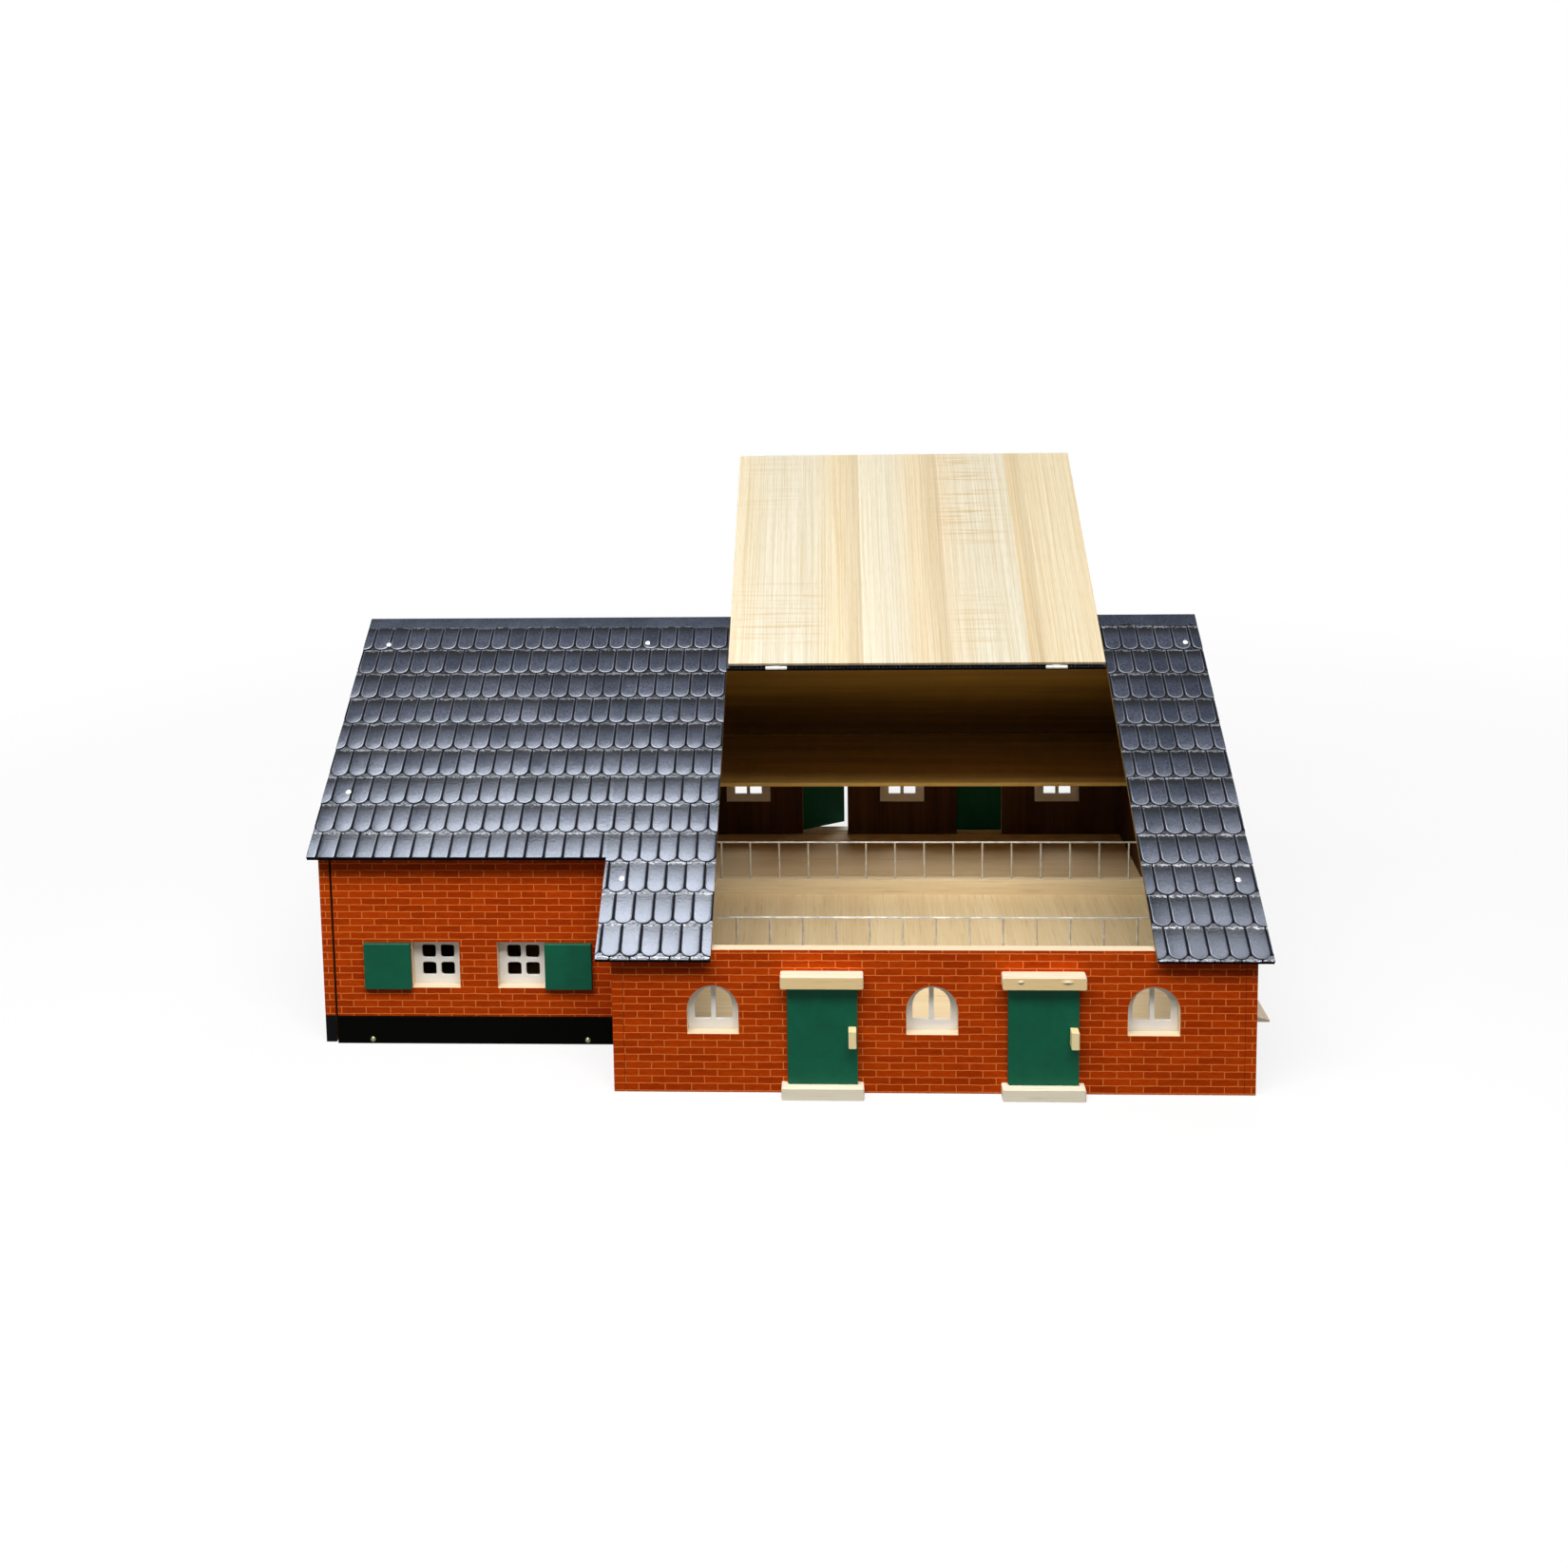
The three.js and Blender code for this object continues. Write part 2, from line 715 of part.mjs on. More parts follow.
function hingeLeaf(side, spans, bore) {
  const half = hingeWidth / 2;
  const bottom = fitClearance - hingeAxisHeight;
  const top = bottom + hingeLeafThickness;
  const rim = knuckleRadius + fitClearance * 2;
  const across = (from, to) => [side * from, side * to].sort((a, b) => a - b);
  const [plateFrom, plateTo] = across(rim, hingeLeafLength);
  const pieces = [boxBetween([-half, plateFrom, bottom], [half, plateTo, top])];
  for (const [from, to] of spans) {
    const [tabFrom, tabTo] = across(0, rim + fitClearance);
    pieces.push(boxBetween([from, tabFrom, bottom], [to, tabTo, top]));
    pieces.push(cylinderAlongX(knuckleRadius, from, to, pinSides));
  }
  return bore ? cutBy(joined(...pieces), bore) : joined(...pieces);
}

function fixedHingeLeaf() {
  const half = hingeWidth / 2;
  const inner = knuckleShare * half + fitClearance;
  const leaf = hingeLeaf(1, [[-half, -inner], [inner, half]]);
  return joined(leaf, cylinderAlongX(hingePinRadius, -half, half, pinSides));
}

function flapHingeLeaf() {
  const inner = knuckleShare * hingeWidth / 2;
  const reach = hingeWidth / 2;
  const bore = cylinderAlongX(hingePinRadius + fitClearance, -reach, reach, pinSides);
  return hingeLeaf(-1, [[-inner, inner]], bore);
}

// Assembly

function addPart(parent, name, geometry, material) {
  const mesh = new THREE.Mesh(geometry, material);
  mesh.name = name;
  parent.add(mesh);
  return mesh;
}

function frameAt(parent, x, y, z) {
  const frame = new THREE.Group();
  frame.position.set(x, y, z);
  parent.add(frame);
  return frame;
}

function addWalls(barn) {
  addPart(barn, 'front_wall', frontWall(), brick);
  addPart(barn, 'rear_wall', rearWall(), brick);
  addPart(barn, 'wing_front_wall', wingFrontWall(), brick);
  addPart(barn, 'left_gable', leftGable(), brick);
  addPart(barn, 'partition_gable', partitionGable(), brick);
  addPart(barn, 'right_gable', rightGable(), brick);
  addPart(barn, 'wing_plinth', wingPlinth(), blackPaint);
}

function addWindows(barn) {
  const frontPlate = archedWindow(-depthInside + fitClearance);
  const rearPlate = archedWindow(depthInside - fitClearance - windowPlateThickness);
  openingCentres.forEach((centre, index) => {
    addPart(barn, `front_window_${index + 1}`, frontPlate, whitePlastic).position.x = centre;
    addPart(barn, `rear_window_${index + 1}`, rearPlate, whitePlastic).position.x = centre;
  });
  wingWindowCentres().forEach((centre, index) => {
    addPart(barn, `wing_window_${index + 1}`, wingWindow(), whitePlastic).position.x = centre;
  });
  [-1, 1].forEach((side, index) => {
    const panel = addPart(barn, `shutter_${index + 1}`, shutter(), greenPaint);
    panel.position.x = wingMiddle + side * shutterSpacing / 2;
  });
}

// One small door with its two blocks and its handle, in a frame whose +Y points out of the wall.
// side is 1 where the pins are at the frame's +X end, and -1 at its -X end.
function addDoorSet(frame, name, side, angle) {
  const pinPlace = side * pinOffset;
  addPart(frame, `${name}_lintel`, lintelBlock(blockLength, lintelBottom, [pinPlace]), creamPaint);
  addPart(frame, `${name}_sill`, sillBlock(blockLength, pinPlace), creamPaint);
  const pivot = frameAt(frame, pinPlace, pinDistance, 0);
  pivot.rotation.z = side > 0 ? Math.PI - angle : angle;
  const leafWidth = doorWidth;
  addPart(pivot, name, doorLeaf(leafWidth, doorBottom, doorTop), greenPaint);
  const grip = addPart(pivot, `${name}_handle`, handleBlock(handleBottom), creamPaint);
  const reach = leafWidth - doorThickness / 2 - handleInset - handleWidth / 2;
  const outward = doorThickness / 2 + fitClearance;
  grip.position.set(reach, side > 0 ? -outward - handleDepth : outward, 0);
}

function addDoors(barn) {
  const sides = ['left', 'right'];
  doorCentres.forEach((centre, index) => {
    const front = frameAt(barn, centre, -halfDepth, 0);
    front.rotation.z = Math.PI;
    addDoorSet(front, `front_door_${sides[index]}`, 1, 0);
    const rear = frameAt(barn, centre, halfDepth, 0);
    addDoorSet(rear, `rear_door_${sides[index]}`, -1, index === 0 ? ajarAngle : 0);
  });
}

// The gable frame's +Y points out of the right gable, along the barn's +X
function addGableDoors(barn) {
  addPart(barn, 'ramp', ramp(), paleWood);
  const frame = frameAt(barn, halfHall, 0, 0);
  frame.rotation.z = -Math.PI / 2;
  const lintel = lintelBlock(gateLintelLength, gateTop + doorEndGap, [-gatePin, gatePin]);
  addPart(frame, 'gable_lintel', lintel, creamPaint);
  const leaf = doorLeaf(gateLeafWidth, rampTop + doorEndGap, gateTop);
  for (const [side, name] of [[1, 'gable_door_front'], [-1, 'gable_door_rear']]) {
    const pivot = frameAt(frame, side * gatePin, pinDistance, 0);
    pivot.rotation.z = side > 0 ? Math.PI : 0;
    addPart(pivot, name, leaf, greenPaint);
    const grip = addPart(pivot, `${name}_handle`, handleBlock((rampTop + gateTop) / 2), creamPaint);
    const reach = gateLeafWidth - doorThickness / 2 - handleInset - handleWidth / 2;
    const outward = doorThickness / 2 + fitClearance;
    grip.position.set(reach, side > 0 ? -outward - handleDepth : outward, 0);
  }
}

function addInterior(barn) {
  addPart(barn, 'hall_floor', hallFloor(), rawWood);
  addPart(barn, 'wing_floor', wingFloor(), rawWood);
  addPart(barn, 'alley_deck', alleyDeck(), paleWood);
  for (const [side, name, fence] of [[-1, 'front', frontFence], [1, 'rear', rearFence]]) {
    addPart(barn, `${name}_kerb`, kerb(fence), paleWood).position.y = side * fenceOffset;
    addPart(barn, `${name}_feed_fence`, feedFence(fence), galvanised).position.y = side * fenceOffset;
  }
  addPart(barn, 'loft_floor', loftFloor(), rawWood);
  addPart(barn, 'loft_batten_left', loftBatten(-1), rawWood);
  addPart(barn, 'loft_batten_right', loftBatten(1), rawWood);
  addPart(barn, 'ridge_beam', ridgeBeam(), rawWood);
  addPart(barn, 'left_rafters', rafterPair(), rawWood);
}

function addRoof(barn) {
  const frontSlope = frameAt(barn, 0, -eaveRun, eaveHeight);
  frontSlope.rotation.x = roofPitch;
  addPart(frontSlope, 'roof_panel_left', leftRoofPanel(), slate);
  addPart(frontSlope, 'roof_panel_right', rightRoofPanel(), slate);
  addPart(frontSlope, 'roof_panel_ridge', ridgePanel(), slate);

  const hinge = frameAt(frontSlope, 0, hingeLine, hingeAxisHeight);
  const flap = frameAt(hinge, 0, 0, 0);
  flap.rotation.x = -foldAngle;
  addPart(flap, 'roof_flap', roofFlap(), slate);
  hingePlaces().forEach((place, index) => {
    addPart(hinge, `hinge_${index + 1}_fixed_leaf`, fixedHingeLeaf(), whitePlastic).position.x = place;
    addPart(flap, `hinge_${index + 1}_flap_leaf`, flapHingeLeaf(), whitePlastic).position.x = place;
  });

  const rearTurn = frameAt(barn, 0, eaveRun, eaveHeight);
  rearTurn.rotation.z = Math.PI;
  const rearSlope = frameAt(rearTurn, 0, 0, 0);
  rearSlope.rotation.x = roofPitch;
  addPart(rearSlope, 'roof_panel_rear', rearRoofPanel(), slate);
}

function buildBarn() {
  const barn = new THREE.Group();
  addWalls(barn);
  addWindows(barn);
  addDoors(barn);
  addGableDoors(barn);
  addInterior(barn);
  addRoof(barn);
  return barn;
}

export default buildBarn();
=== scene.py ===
import math
import random

import bmesh
import bpy
from mathutils import Matrix, Vector


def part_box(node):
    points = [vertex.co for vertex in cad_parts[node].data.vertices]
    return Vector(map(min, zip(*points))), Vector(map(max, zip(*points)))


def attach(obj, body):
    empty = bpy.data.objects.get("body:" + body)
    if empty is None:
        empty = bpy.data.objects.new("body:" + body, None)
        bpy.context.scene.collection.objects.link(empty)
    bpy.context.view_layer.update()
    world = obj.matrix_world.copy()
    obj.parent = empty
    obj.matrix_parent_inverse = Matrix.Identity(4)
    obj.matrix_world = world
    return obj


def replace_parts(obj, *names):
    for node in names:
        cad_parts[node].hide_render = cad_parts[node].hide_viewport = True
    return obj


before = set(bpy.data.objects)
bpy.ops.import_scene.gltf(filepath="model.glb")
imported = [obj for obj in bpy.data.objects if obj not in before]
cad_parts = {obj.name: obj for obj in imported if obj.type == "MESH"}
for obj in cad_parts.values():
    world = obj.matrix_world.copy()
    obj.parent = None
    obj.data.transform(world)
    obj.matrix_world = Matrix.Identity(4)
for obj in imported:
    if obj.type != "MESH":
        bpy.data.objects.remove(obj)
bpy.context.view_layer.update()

# Camera, fitted to the photograph, which is 1650 pixels square
PHOTO_WIDTH = 1650
FOCAL_PIXELS = 1648.47
AXIS_PIXEL = (810.44, 453.49)
SENSOR_WIDTH = 36
CAMERA_PLACE = (-0.07449, -1.49043, 0.67987)
CAMERA_YAW = math.radians(-2.341)
CAMERA_PITCH = math.radians(6.407)
CAMERA_ROLL = math.radians(-0.868)

# Roof, in metres, as the frame has it
ROOF_PITCH = math.radians(36.1)
RIDGE_HEIGHT = 0.32996
EAVE_RUN = 0.291
WING_EAVE_RUN = 0.2155
ROOF_LEFT = -0.5295
ROOF_RIGHT = 0.27
ROOF_STEP = -0.2715
HATCH_HALF = 0.178
HINGE_TO_RIDGE = 0.064
HINGE_AXIS_HEIGHT = 0.0022
FLAP_KERF = 0.002
FLAP_HINGE_GAP = 0.001
PANEL_JOINT = 0.0006
FOLD_ANGLE = math.radians(182.0595)
HINGE_CENTRES = (-0.131, 0.131)
HINGE_HALF_WIDTH = 0.01
HINGE_RECESS = 0.0143

# Tiles: each one thins from its tail to its head, and its rim is rounded over in rings of a width and a
# share of the rise. The cuts, as shares of the course step, let the top curve
TILE_WIDTH = 0.0163
TILE_GROOVE = 0.0011
TILE_TAIL_DEPTH = 0.0060
TILE_TAIL_STEPS = 8
TILE_HEAD_LAP = 0.004
HEAD_SHARE = 0.42
TOP_CUTS = (0.4, 0.68, 0.86, 1.0, 1.06)
TOP_CURVE = 2.2
BOLD_RELIEF = 0.0017
FLAT_RELIEF = 0.0009
WALL_SHARE = 0.5
RIM_RINGS = ((0.00030, 0.30), (0.00045, 0.15), (0.0009, 0.05))
TILE_SHARP_ANGLE = math.radians(50)
TILE_SEED = 7
TILE_LEAN = 0.006
TILE_ROLL = 0.008
RIDGE_BAND = 0.0135
RIDGE_BAND_SLOPE = 0.004
RIDGE_BAND_RISE = 0.0009
# Each sheet: step of its courses, first tail above the eave, shift of its columns, relief
LEFT_SHEET = (0.02895, 0.00245, -0.0072, BOLD_RELIEF)
RIGHT_SHEET = (0.0287, 0.00135, -0.0087, BOLD_RELIEF)
REAR_SHEET = (0.0285, 0.0024, 0, BOLD_RELIEF)
FLAP_SHEET = (0.0285, 0.0055, 0, FLAT_RELIEF)
SKIN = 0.00005

# Printed bricks, where their first course starts on a board, and the painted foot of the left gable
BRICK_WIDTH = 0.02157
BRICK_HEIGHT = 0.00619
BRICK_START = (0.0084, 0.0013)
WING_BRICK_START = (0.0185, 0.0013)
PAINTED_FOOT = 0.0243

# Screws: each place on the roof is given along the barn and across it
ROOF_SCREWS = (
    (-0.5058, -0.0262), (-0.2549, -0.0260), (-0.5076, -0.1621),
    (-0.2562, -0.2317), (0.2552, -0.0278), (0.2554, -0.2323),
)
PLINTH_SCREWS = (-0.4824, -0.2936)
PLINTH_SCREW_HEIGHT = 0.004
SCREW_RADIUS = 0.0026
PLINTH_SCREW_RADIUS = 0.00234
SCREW_RISE = 0.0011
SCREW_SLOT_WIDTH = 0.0008
SCREW_SLOT_DEPTH = 0.0005
SCREW_SIDES = 24

# The flap's underside: tones across its planks, and where its ripple figure lies, across and along
PALE = (0.69, 0.645, 0.52)
TAN = (0.605, 0.505, 0.34)
UNDERSIDE_TONES = (
    (0.0, (0.75, 0.66, 0.48)), (0.10, PALE), (0.22, PALE), (0.30, (0.72, 0.62, 0.43)), (0.36, TAN),
    (0.363, (0.75, 0.71, 0.575)), (0.45, PALE), (0.52, (0.72, 0.62, 0.44)), (0.592, TAN),
    (0.595, (0.71, 0.62, 0.46)), (0.68, PALE), (0.80, PALE), (0.803, (0.67, 0.54, 0.335)), (0.835, TAN),
    (0.85, (0.71, 0.62, 0.44)), (1.0, (0.73, 0.64, 0.46)),
)
UNDERSIDE_RIPPLES = (
    ((0.035, 0.075, 0.0, 0.13), 1.0), ((0.06, 0.1, 0.02, 0.16), 0.5), ((0.04, 0.085, 0.2, 0.28), 0.5),
    ((-0.17, -0.09, 0.19, 0.27), 0.7), ((-0.17, -0.11, 0.0, 0.09), 0.35),
)
RIPPLE_BLUR = 0.012

# Filled nail heads on the lintels: centre along the barn, height, half width, half height
LINTEL_PIPS = ((0.0700, 0.1010, 0.0034, 0.0022), (0.1071, 0.1010, 0.0060, 0.0024))
# How much a lintel's front face is darkened: painted shade
LINTEL_FRONT_SHADE = (0.93, 0.81, 0.53)

# How far the sharp edges of the CAD pieces are rounded
FINE_EDGE = 0.0003
BOARD_EDGE = 0.0004
WIDE_EDGE = 0.0005
EDGE_ANGLE = math.radians(30)

# How far paint strays from its colour, half the floor's width, and how close points are merged
PAINT_CLOUDS = 0.12
FLOOR_HALF = 30
WELD = 1e-6
Z_AXIS = Vector((0, 0, 1))

slope_length = EAVE_RUN / math.cos(ROOF_PITCH)
hinge_line = slope_length - HINGE_TO_RIDGE
eave_height = RIDGE_HEIGHT - EAVE_RUN * math.tan(ROOF_PITCH)
front_slope = Matrix.Translation((0, -EAVE_RUN, eave_height)) @ Matrix.Rotation(ROOF_PITCH, 4, "X")
rear_slope = Matrix.Rotation(math.pi, 4, "Z") @ front_slope
hinge_place = Matrix.Translation((0, hinge_line, HINGE_AXIS_HEIGHT))
folded_slope = front_slope @ hinge_place @ Matrix.Rotation(-FOLD_ANGLE, 4, "X") @ hinge_place.inverted()


def make_camera():
    """The photograph's camera: place, turn and roll, with the shift of its off-centre axis"""
    right = Vector((math.cos(CAMERA_YAW), -math.sin(CAMERA_YAW), 0))
    level = Vector((math.sin(CAMERA_YAW), math.cos(CAMERA_YAW), 0))
    forward = level * math.cos(CAMERA_PITCH) - Z_AXIS * math.sin(CAMERA_PITCH)
    up = right.cross(forward)
    across = right * math.cos(CAMERA_ROLL) + up * math.sin(CAMERA_ROLL)
    upward = up * math.cos(CAMERA_ROLL) - right * math.sin(CAMERA_ROLL)
    data = bpy.data.cameras.new("camera")
    data.sensor_width = SENSOR_WIDTH
    data.lens = SENSOR_WIDTH * FOCAL_PIXELS / PHOTO_WIDTH
    data.shift_x = (PHOTO_WIDTH / 2 - AXIS_PIXEL[0]) / PHOTO_WIDTH
    data.shift_y = (AXIS_PIXEL[1] - PHOTO_WIDTH / 2) / PHOTO_WIDTH
    camera = bpy.data.objects.new("camera", data)
    turn = Matrix((across, upward, -forward)).transposed().to_4x4()
    camera.matrix_world = Matrix.Translation(CAMERA_PLACE) @ turn
    bpy.context.scene.collection.objects.link(camera)
    bpy.context.scene.camera = camera


# Node trees

def add_node(tree, kind, settings=None, inputs=None):
    """A node with its settings, each input given as a value or as the socket that feeds it"""
    made = tree.nodes.new(kind)
    for name, value in (settings or {}).items():
        setattr(made, name, value)
    for name, value in (inputs or {}).items():
        if isinstance(value, bpy.types.NodeSocket):
            tree.links.new(value, made.inputs[name])
        else:
            made.inputs[name].default_value = value
    return made


def math_node(tree, operation, first, second=0.0):
    """The result of one calculation on two numbers"""
    made = add_node(tree, "ShaderNodeMath", {"operation": operation}, {0: first, 1: second})
    return made.outputs[0]


def product(tree, first, *others):
    """The product of several numbers"""
    for other in others:
        first = math_node(tree, "MULTIPLY", first, other)
    return first


def vector_node(tree, operation, inputs):
    """The outputs of one calculation on vectors"""
    return add_node(tree, "ShaderNodeVectorMath", {"operation": operation}, inputs).outputs


def parts_of(tree, vector):
    """The X, Y and Z of a vector"""
    return add_node(tree, "ShaderNodeSeparateXYZ", None, {0: vector}).outputs


def object_place(tree):
    """The place on a piece, in metres"""
    return add_node(tree, "ShaderNodeTexCoord").outputs["Object"]


def mapped(tree, vector, scale=(1, 1, 1), rotation=(0, 0, 0), location=(0, 0, 0)):
    """A vector turned and stretched by a Mapping node"""
    inputs = {"Vector": vector, "Scale": scale, "Rotation": rotation, "Location": location}
    return add_node(tree, "ShaderNodeMapping", None, inputs).outputs["Vector"]


def noise(tree, vector, scale, detail=2.0, roughness=0.5, distortion=0.0):
    """The value of a noise texture"""
    inputs = {
        "Vector": vector, "Scale": scale, "Detail": detail, "Roughness": roughness,
        "Distortion": distortion,
    }
    return add_node(tree, "ShaderNodeTexNoise", None, inputs).outputs["Fac"]


def ramp(tree, value, stops):
    """A colour ramp with its stops given as place and colour"""
    made = add_node(tree, "ShaderNodeValToRGB", None, {"Fac": value})
    elements = made.color_ramp.elements
    while len(elements) < len(stops):
        elements.new(1.0)
    for element, (place, colour) in zip(elements, stops):
        element.position = place
        element.color = (*colour, 1)
    return made.outputs["Color"]


def spread(tree, value, low, high, to_low=0.0, to_high=1.0):
    """A value spread from one range to another, and held at its ends"""
    inputs = {"Value": value, "From Min": low, "From Max": high, "To Min": to_low, "To Max": to_high}
    return add_node(tree, "ShaderNodeMapRange", None, inputs).outputs["Result"]


def mixed(tree, share, first, second, blend="MIX"):
    """Two colours mixed by a share"""
    settings = {"data_type": "RGBA", "blend_type": blend}
    made = add_node(tree, "ShaderNodeMix", settings)
    for place, value in ((0, share), (6, first), (7, second)):
        if isinstance(value, bpy.types.NodeSocket):
            tree.links.new(value, made.inputs[place])
        elif place == 0:
            made.inputs[place].default_value = value
        else:
            made.inputs[place].default_value = (*value, 1)
    return made.outputs[2]


def new_group(name, inputs, outputs):
    """A shader node group with named sockets; returns its tree, its input node and its output node"""
    tree = bpy.data.node_groups.new(name, "ShaderNodeTree")
    for label, kind, value in inputs:
        socket = tree.interface.new_socket(name=label, in_out="INPUT", socket_type=kind)
        if value is not None:
            socket.default_value = value
    for label, kind in outputs:
        tree.interface.new_socket(name=label, in_out="OUTPUT", socket_type=kind)
    return tree, tree.nodes.new("NodeGroupInput"), tree.nodes.new("NodeGroupOutput")


def grain_group():
    """Wood grain along the vector's X: broad bands, fine fibres, and a height for the bump"""
    tree, given, result = new_group(
        "wood grain",
        [("Vector", "NodeSocketVector", None), ("Dark", "NodeSocketColor", (0.5, 0.3, 0.15, 1)),
         ("Light", "NodeSocketColor", (0.8, 0.6, 0.4, 1)), ("Fibre", "NodeSocketFloat", 0.5)],
        [("Color", "NodeSocketColor"), ("Height", "NodeSocketFloat")],
    )
    vector = given.outputs["Vector"]
    bands = noise(tree, mapped(tree, vector, scale=(2.2, 45, 45)), 1.0, 3.0, 0.55, 0.35)
    fibres = noise(tree, mapped(tree, vector, scale=(9, 900, 900)), 1.0, 2.0, 0.6)
    pores = noise(tree, mapped(tree, vector, scale=(28, 420, 420)), 1.0, 1.0, 0.5)
    tone = mixed(tree, given.outputs["Fibre"], bands, fibres)
    share = spread(tree, tone, 0.33, 0.67)
    colour = mixed(tree, share, given.outputs["Dark"], given.outputs["Light"])
    streak = spread(tree, pores, 0.28, 0.4, 0.88, 1.0)
    shaded = mixed(tree, 1.0, colour, streak, "MULTIPLY")
    tree.links.new(shaded, result.inputs["Color"])
    tree.links.new(fibres, result.inputs["Height"])
    return tree


def brick_group():
    """Printed brickwork in the vector's X and Y, in metres: thin mortar lines and blotched bricks"""
    tree, given, result = new_group(
        "printed bricks",
        [("Vector", "NodeSocketVector", None)],
        [("Color", "NodeSocketColor"), ("Mortar", "NodeSocketFloat")],
    )
    vector = given.outputs["Vector"]
    inputs = {"Vector": vector, "Scale": 260.0, "Detail": 1.0}
    wobble = add_node(tree, "ShaderNodeTexNoise", None, inputs).outputs["Color"]
    centred = vector_node(tree, "SUBTRACT", {0: wobble, 1: (0.5, 0.5, 0.5)})["Vector"]
    reduced = vector_node(tree, "SCALE", {0: centred, "Scale": 0.0009})["Vector"]
    drawn = vector_node(tree, "ADD", {0: vector, 1: reduced})["Vector"]
    inputs = {
        "Vector": drawn, "Scale": 1.0, "Mortar Size": 0.00048, "Mortar Smooth": 0.3, "Bias": 0.0,
        "Brick Width": BRICK_WIDTH, "Row Height": BRICK_HEIGHT,
        "Color1": (0.40, 0.035, 0.0006, 1), "Color2": (0.54, 0.055, 0.0014, 1),
    }
    settings = {"offset": 0.5, "offset_frequency": 2}
    bricks = add_node(tree, "ShaderNodeTexBrick", settings, inputs)
    blotches = noise(tree, mapped(tree, vector, scale=(120, 420, 120)), 1.0, 3.0, 0.6)
    tones = [(0.3, (0.76, 0.7, 0.62)), (0.5, (1, 1, 1)), (0.72, (1.16, 1.3, 1.4))]
    body = mixed(tree, 0.6, bricks.outputs["Color"], ramp(tree, blotches, tones), "MULTIPLY")
    colour = mixed(tree, bricks.outputs["Fac"], body, (0.78, 0.20, 0.042))
    tree.links.new(colour, result.inputs["Color"])
    tree.links.new(bricks.outputs["Fac"], result.inputs["Mortar"])
    return tree


GRAIN = grain_group()
BRICKS = brick_group()


def group_node(tree, group, inputs):
    """A node group placed in a material"""
    made = tree.nodes.new("ShaderNodeGroup")
    made.node_tree = group
    for name, value in inputs.items():
        if isinstance(value, bpy.types.NodeSocket):
            tree.links.new(value, made.inputs[name])
        else:
            made.inputs[name].default_value = value
    return made


def new_material(name, roughness, metallic=0.0, specular=0.5):
    """A material with its shader; returns the material, its tree and the shader"""
    material = bpy.data.materials.new(name)
    material.use_nodes = True
    shader = material.node_tree.nodes["Principled BSDF"]
    shader.inputs["Roughness"].default_value = roughness
    shader.inputs["Metallic"].default_value = metallic
    shader.inputs["Specular IOR Level"].default_value = specular
    return material, material.node_tree, shader


def set_bump(tree, shader, height, strength, distance):
    """A bump under the shader's normal"""
    inputs = {"Height": height, "Strength": strength, "Distance": distance}
    bump = add_node(tree, "ShaderNodeBump", None, inputs)
    tree.links.new(bump.outputs["Normal"], shader.inputs["Normal"])


def facing(tree, normal, direction, limit=0.5):
    """A mask of the faces that look in a direction of the piece's own space"""
    dot = vector_node(tree, "DOT_PRODUCT", {0: normal, 1: direction})["Value"]
    return math_node(tree, "GREATER_THAN", dot, limit)


# Materials

def wood(name, dark, light, along="X", fibre=0.4, roughness=0.6):
    """Bare or varnished wood, with its grain along one axis of the piece"""
    material, tree, shader = new_material(name, roughness)
    turns = {"X": (0, 0, 0), "Y": (0, 0, math.radians(-90)), "Z": (0, math.radians(90), 0)}
    vector = mapped(tree, object_place(tree), rotation=turns[along])
    inputs = {"Vector": vector, "Dark": (*dark, 1), "Light": (*light, 1), "Fibre": fibre}
    grain = group_node(tree, GRAIN, inputs)
    tree.links.new(grain.outputs["Color"], shader.inputs["Base Color"])
    set_bump(tree, shader, grain.outputs["Height"], 0.25, 0.0003)
    return material


def paint(name, colour, roughness, specular):
    """Paint rolled over wood: slight clouds in the colour, and upright grain just felt through it"""
    material, tree, shader = new_material(name, roughness, specular=specular)
    place = object_place(tree)
    clouds = noise(tree, place, 60.0, 4.0, 0.6)
    low = tuple(c * (1 - PAINT_CLOUDS) for c in colour)
    high = tuple(min(1.0, c * (1 + PAINT_CLOUDS)) for c in colour)
    tree.links.new(ramp(tree, clouds, [(0.3, low), (0.7, high)]), shader.inputs["Base Color"])
    strands = noise(tree, mapped(tree, place, scale=(900, 900, 25)), 1.0, 2.0, 0.6)
    gloss = spread(tree, strands, 0.3, 0.7, roughness - 0.07, roughness + 0.07)
    tree.links.new(gloss, shader.inputs["Roughness"])
    set_bump(tree, shader, strands, 0.2, 0.0003)
    return material


